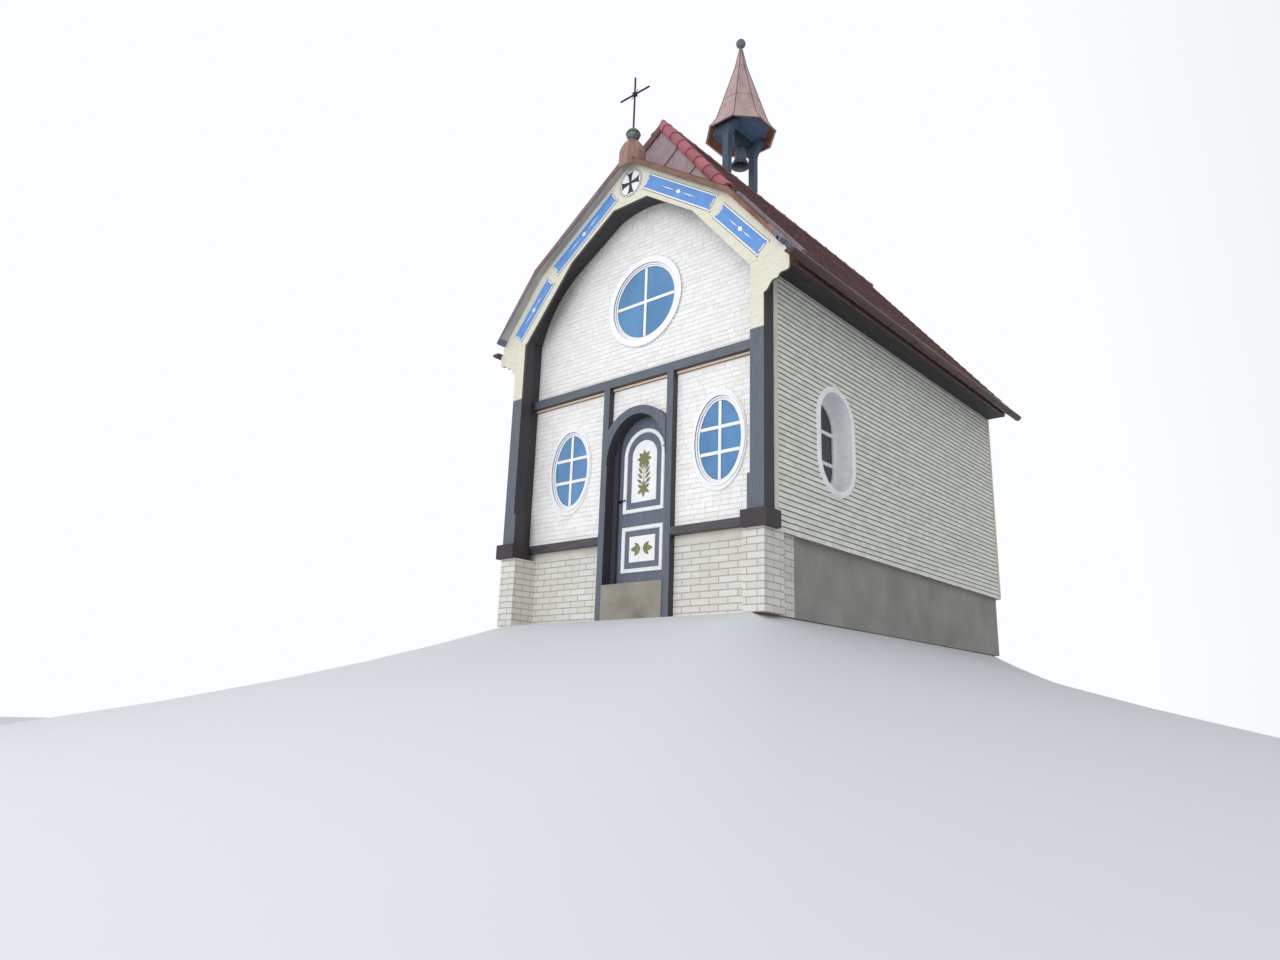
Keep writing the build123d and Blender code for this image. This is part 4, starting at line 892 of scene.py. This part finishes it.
def cap_tile(rim):
    """Half-round cap tile along its own Z: a shell that tapers upwards, with a thicker lower rim."""
    shape = bmesh.new()
    span = (-0.03 * pi, 1.03 * pi, 12)
    rings = []
    for z, outer, inner in ((0.0, rim - 0.01, 0.062), (0.0, rim, 0.062), (0.035, rim, 0.064),
                            (0.042, rim - 0.007, 0.064), (0.345, 0.074, 0.060)):
        line = arc(0, 0, outer, -outer, *span) + arc(0, 0, inner, -inner, *span)[::-1]
        rings.append([(x, y, z) for x, y in line])
    rings = loft(shape, rings, ())
    for ring in (rings[0], rings[-1]):
        for i in range(span[2]):
            shape.faces.new((ring[i], ring[i + 1], ring[-2 - i], ring[-1 - i]))
    return plain_mesh("cap", shape)


def lay_roof():
    """Plain tiles of both slopes, two rows to a sunk course, cut along the hips and the slanting edge."""
    pitch, width, step = EAVE_X / cos(ROOF_PITCH) / COURSES / 2, 0.18, TILE_STEP / 2
    lean = ROOF_PITCH - atan2(step, pitch)
    columns = int((ROOF_END_Y - HIP_FOOT_Y) / width) + 2
    corners = ((0, HIP_TOP_Y), (BREAK_X, HIP_FOOT_Y), (EAVE_X, TILE_EDGE_Y))
    for side, label in SIDES:
        points = []
        for row in range(COURSES * 2):
            x = EAVE_X - row * pitch * cos(ROOF_PITCH)
            z = EAVE + row * pitch * sin(ROOF_PITCH)
            edge = max(y0 + (x - x0) * (y1 - y0) / (x1 - x0)
                       for (x0, y0), (x1, y1) in zip(corners, corners[1:]))
            for column in range(columns):
                y = ROOF_END_Y - width * (column + 0.5 - 0.5 * (row % 2))
                if y > edge - 0.25:
                    points.append((Vector((side * x, y, z)), (width - 0.003, 1.0, pitch * 0.99),
                                   (-(pi / 2 - lean), 0, side * pi / 2)))
        mesh = lay(points, plain_tile(), 0.003, 13 + side)
        for (x0, y0), (x1, y1) in zip(corners, corners[1:]):
            trim(mesh, (side * x0, y0, 0), Vector((side * (y1 - y0), -(x1 - x0), 0)).normalized())
        trim(mesh, (side * EAVE_X, 0, 0), (side, 0, 0))
        trim(mesh, (0, ROOF_END_Y, 0), (0, 1, 0))
        make_piece("roof_tiles_" + label, mesh, roof_clay)


def turn_to(upward, outward):
    """Euler angles that carry local Z along upward and local -Y towards outward."""
    z = Vector(upward).normalized()
    y = -(Vector(outward) - z * Vector(outward).dot(z)).normalized()
    return tuple(Matrix((y.cross(z), y, z)).transposed().to_euler())


def lay_caps():
    """Cap tiles on the ridge and down the two front hips."""
    turn, span, count, reach = turn_to((0, -1, 0), (0, 0, 1)), ROOF_END_Y - HIP_TOP_Y, 18, 0.318
    points = [(Vector((0, ROOF_END_Y - i * span / count, RIDGE - CAP_DROP)),
               (1, 1, span / count / reach), turn) for i in range(count)]
    make_piece("ridge_tiles", lay(points, cap_tile(0.081), 0.006, 17), roof_clay, ("ridge_cap",))
    first, step = 0.165, 0.312
    # The left hip's caps take the darker roof clay as painted shade for the shaded side; the right caps keep
    # the red cap clay.
    for (side, label), drop, clay_red_right_shaded_left in zip(SIDES, (CAP_DROP, CAP_DROP + 0.035), (cap_clay, roof_clay)):
        top = Vector((0, HIP_TOP_Y, RIDGE - drop))
        fall = top - Vector((side * BREAK_X, HIP_FOOT_Y, BREAK_Z - drop))
        upward = fall.normalized()
        outward = Vector((side * sin(ROOF_PITCH), 0, cos(ROOF_PITCH))) + Vector((0, -0.963, 0.269))
        points = [(top - upward * (first + i * step), (1, 1, step / reach), turn_to(upward, outward))
                  for i in range(8) if first + i * step <= fall.length]
        mesh = lay(points, cap_tile(0.088), 0.006, 19 + side)
        trim(mesh, (0, 0, 0), (-side, 0, 0))
        make_piece("hip_tiles_" + label, mesh, clay_red_right_shaded_left, ("hip_cap_" + label,))


def hip_point(x, z):
    """Point just in front of the steep hip sheet over x and height z."""
    share = (z - BREAK_Z) / (RIDGE - BREAK_Z)
    return Vector((x, HIP_FOOT_Y + (HIP_TOP_Y - HIP_FOOT_Y) * share - 0.004, z))


def canopy_line(out, lift, inward=0.0):
    """Line along the canopy's verge, from end to end over the apex, moved out and up."""
    line = []
    for x in (-2.13, inward - BREAK_X, 0, BREAK_X - inward, 2.13):
        if abs(x) < BREAK_X:
            z = APEX - abs(x) * tan(CANOPY_PITCH)
        else:
            z = RIDGE - abs(x) * tan(ROOF_PITCH)
        line.append(Vector((x, CANOPY_Y + out, z + lift)))
    return line


def flashing(mesh, side):
    """Raised strip of sheet that covers the front edge of the tiles, from the break down to the eave."""
    top = Vector((side * BREAK_X, HIP_FOOT_Y, BREAK_Z))
    foot = Vector((side * EAVE_X, TILE_EDGE_Y, EAVE))
    along = (foot - top).normalized()
    outward = Vector((side * sin(ROOF_PITCH), 0, cos(ROOF_PITCH)))
    across = outward.cross(along) * side
    section = ((0.085, -0.03), (0.085, 0.024), (0.068, 0.034), (-0.028, 0.034), (-0.04, 0.024),
               (-0.04, -0.03))
    loft(mesh, [[end + across * a + outward * b for a, b in section]
                for end in (top + along * 0.02, foot - along * 0.004)])


def dress_sheet():
    """Standing seams of the hip sheet, the rolled edge of the canopy and the flashing along the tiles."""
    seams, steps = [], 6
    for side in (-1, 1):
        for ends in (((0.1805, 5.732), (0.4829, 6.148)), ((0.7026, 5.373), (0.906, 5.621))):
            foot, head = [hip_point(side * x, z) for x, z in ends]
            seams.append([foot.lerp(head, i / steps) for i in range(steps + 1)])
    make_piece("hip_seams", draw(seams, 0.009), seam_metal)
    lower = canopy_line(0.008, -0.058 / cos(CANOPY_PITCH), 0.02)
    make_piece("canopy_rolls", draw([canopy_line(0.010, 0.002)], 0.010), dark_edge)
    make_piece("canopy_drips", draw([lower], 0.006), bright_copper)
    strips, feet = shapes(2)
    for side in (-1, 1):
        flashing(strips, side)
        foot = [(side * x, z) for x, z in ((2.265, 3.928), (2.228, 3.885), (2.262, 3.842), (2.31, 3.874))]
        add_slab(feet, on_front(CANOPY_Y), foot[::side], -0.11, 0.0, 0.003)
    make_piece("verge_feet", feet, verge_paint)
    make_piece("verge_flashings", strips, strip_metal)


def dress_eaves():
    """Soffit boards, fascia edge, gutter bead and gutter brackets on both sides."""
    boards, fascias, stops = shapes(3)
    clips, beads = [], []
    low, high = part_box("gutters")
    lip, radius, start_y = high.z, 0.056, POST_Y + 0.045
    centre_x = EAVE_X + radius
    for side in (-1, 1):
        for x0 in (1.985, 2.072, 2.159):
            add_slab(boards, lambda u, v, out, s=side: Vector((s * u, v, SOFFIT - out + 0.001)),
                     box_outline(x0, x0 + 0.083, start_y, REAR_Y), 0.0, 0.006, 0.002)
        add_slab(fascias, on_flank(side * 2.245),
                 box_outline(start_y, REAR_Y, SOFFIT - 0.004, SOFFIT + 0.119), -0.004, 0.014, 0.004)
        beads.append([Vector((side * (centre_x + radius - 0.0085), y, lip))
                      for y in (low.y + 0.002, high.y - 0.002)])
        for i in range(10):
            y = POST_Y + 0.195 + i * (REAR_Y - POST_Y - 0.36) / 9
            clips.append([Vector((side * x, y, z)) for x, z in
                          arc(centre_x, lip, -radius - 0.001, -radius - 0.001, 0.06 * pi, 0.85 * pi, 12)])
        for y in (low.y + 0.001, high.y - 0.004):
            add_slab(stops, lambda u, v, out: Vector((u, -out, v)),
                     arc(side * centre_x, lip, 0.053, -0.053, count=12), -y - 0.003, -y)
    make_piece("soffit_boards", boards, soffit_stain)
    make_piece("fascia_boards", fascias, fascia_stain)
    make_piece("gutter_beads", draw(beads, 0.008), bead_highlight_metal)
    make_piece("gutter_brackets", draw(clips, 0.006, 6), gutter_metal)
    make_piece("gutter_stop_ends", stops, gutter_metal)


def level_ring(reach, z, count=8, y=TURRET_Y, start=pi / 8):
    """Points of a level ring round an upright axis; its defaults are the turret's eight corners."""
    turns = [start + 2 * pi * i / count for i in range(count)]
    return [Vector((reach * cos(turn), y + reach * sin(turn), z)) for turn in turns]


def dress_turret():
    """Rolled arrises and flat seams of the hood, its skirt band, ceiling boards and the bell's rims."""
    corners = ((7.53, 0.55), (7.62, 0.482), (7.72, 0.426), (7.86, 0.38), (8.75, 0.102), (9.10, 0.026))
    arrises = zip(*[level_ring(r, z) for z, r in corners])
    make_piece("hood_arrises", draw(arrises, 0.006), seam_metal)
    (foot_z, foot_r), (top_z, top_r) = corners[3:5]
    slant = (top_r - foot_r) / (top_z - foot_z)
    seams = [level_ring(foot_r + (z - foot_z) * slant, z) for z in (8.09, top_z)]
    make_piece("hood_seams", draw(seams, 0.0035, closed=True), seam_metal)
    band, ceiling = shapes(2)
    loft(band, [level_ring(r, z) for z, r in ((7.531, 0.527), (7.531, 0.515), (7.611, 0.442),
                                              (7.611, 0.454))], (), True)
    make_piece("hood_skirt_band", band, bright_copper)
    for i in range(8):
        x0 = -0.44 + i * 0.11
        half_y = min(0.40, 0.62 - max(abs(x0), abs(x0 + 0.106)))
        add_slab(ceiling, lambda u, v, out: Vector((u, TURRET_Y + v, 7.62 - out)),
                 box_outline(x0, x0 + 0.106, -half_y, half_y), 0.0, 0.008, 0.003)
    make_piece("hood_ceiling_boards", ceiling, ceiling_stain)
    hoops = [level_ring(r, z, 40, start=0.0) for z, r in ((7.028, 0.143), (7.07, 0.124), (7.265, 0.083))]
    make_piece("bell_hoops", draw(hoops, 0.005, 6, True), bell_bronze, body="bell")


def dress_cross():
    """Collar rings of the pedestal and ball, and the small barbs of the iron cross."""
    y, arm = POST_Y + 0.012, 6.8305
    barbs = [[Vector((sx * reach, y, arm + sz * reach)) for reach in (0.018, 0.055)]
             for sx, sz in ((1, 1), (1, -1), (-1, 1), (-1, -1))]
    make_piece("cross_barbs", draw(barbs, 0.005, 6), wrought_iron)
    hoops = [level_ring(r, z, 32, y, 0.0) for z, r in ((6.2205, 0.090), (6.146, 0.040))]
    make_piece("cross_ball_rims", draw(hoops, 0.008, 6, True), wrought_iron)


def mound():
    """Pale ground that falls away evenly round the building."""
    half_x, low_y, high_y, count, fall = 1.9, POST_Y, REAR_Y - 0.04, 96, 2.8
    turns = [2 * pi * i / count for i in range(count)]
    rings = []
    for reach in (0, 0.4, 0.9, 1.6, 2.5, 3.7, 5.2, 7.2, 10, 14, 20, 30, 45, 70):
        rings.append([])
        for ahead in [Vector((cos(turn), sin(turn))) for turn in turns]:
            scale = 1 / max(abs(ahead.x) / half_x, abs(ahead.y) / ((high_y - low_y) / 2))
            place = ahead * (scale + reach) + Vector((0, (high_y + low_y) / 2))
            rings[-1].append((place.x, place.y, -fall * (1 - exp(-reach / 8))))
    ground = bmesh.new()
    loft(ground, rings, (0,))
    mesh = plain_mesh("ground", ground)
    mesh.shade_smooth()
    mesh.materials.append(new_finish("pale_studio_floor", 0.9, **{"Base Color": linear("#d5d8dc")})[0])
    floor = stand("ground", mesh)


def light_and_camera():
    """White overcast sky, dimmer towards the long side, and one wide soft key over the front."""
    scene = bpy.context.scene
    world = bpy.data.worlds.new("white_sky")
    scene.world = world
    world.use_nodes = True
    tree = world.node_tree
    aside = axis_of(tree, "X", output="Generated")
    level = put(tree, "ShaderNodeMapRange",
                {"Value": aside, "From Min": -0.2, "From Max": 0.8, "To Min": 1.0, "To Max": 0.56})
    feed(tree.nodes["Background"], {"Color": linear("#fcfdff"), "Strength": level})
    lamp = bpy.data.lights.new("key", "AREA")
    lamp.size, lamp.energy = 10, 720
    key = stand("key", lamp)
    key.location = (3, -17, 5)
    key.rotation_euler = (Vector((0, -3, 3)) - key.location).to_track_quat("-Z", "Y").to_euler()
    scene.view_settings.view_transform = "Standard"
    camera = bpy.data.cameras.new("camera")
    camera.sensor_width, camera.sensor_fit = 36, "HORIZONTAL"
    camera.lens, camera.clip_end = 24.96, 300
    holder = stand("camera", camera)
    yaw, pitch, roll = radians(41.7355), radians(14.6563), radians(1.9356)
    holder.matrix_world = (Matrix.Translation((6.808, POST_Y - 7.263, -0.985)) @ Matrix.Rotation(yaw, 4, "Z")
                           @ Matrix.Rotation(pi / 2 + pitch, 4, "X") @ Matrix.Rotation(roll, 4, "Z"))
    scene.camera = holder


for make in (dress_front, dress_flanks, dress_rear, corner_boards, dress_windows, dress_board, dress_door,
             door_frame, lay_roof, lay_caps, dress_sheet, dress_eaves, dress_turret, dress_cross, mound,
             light_and_camera):
    make()
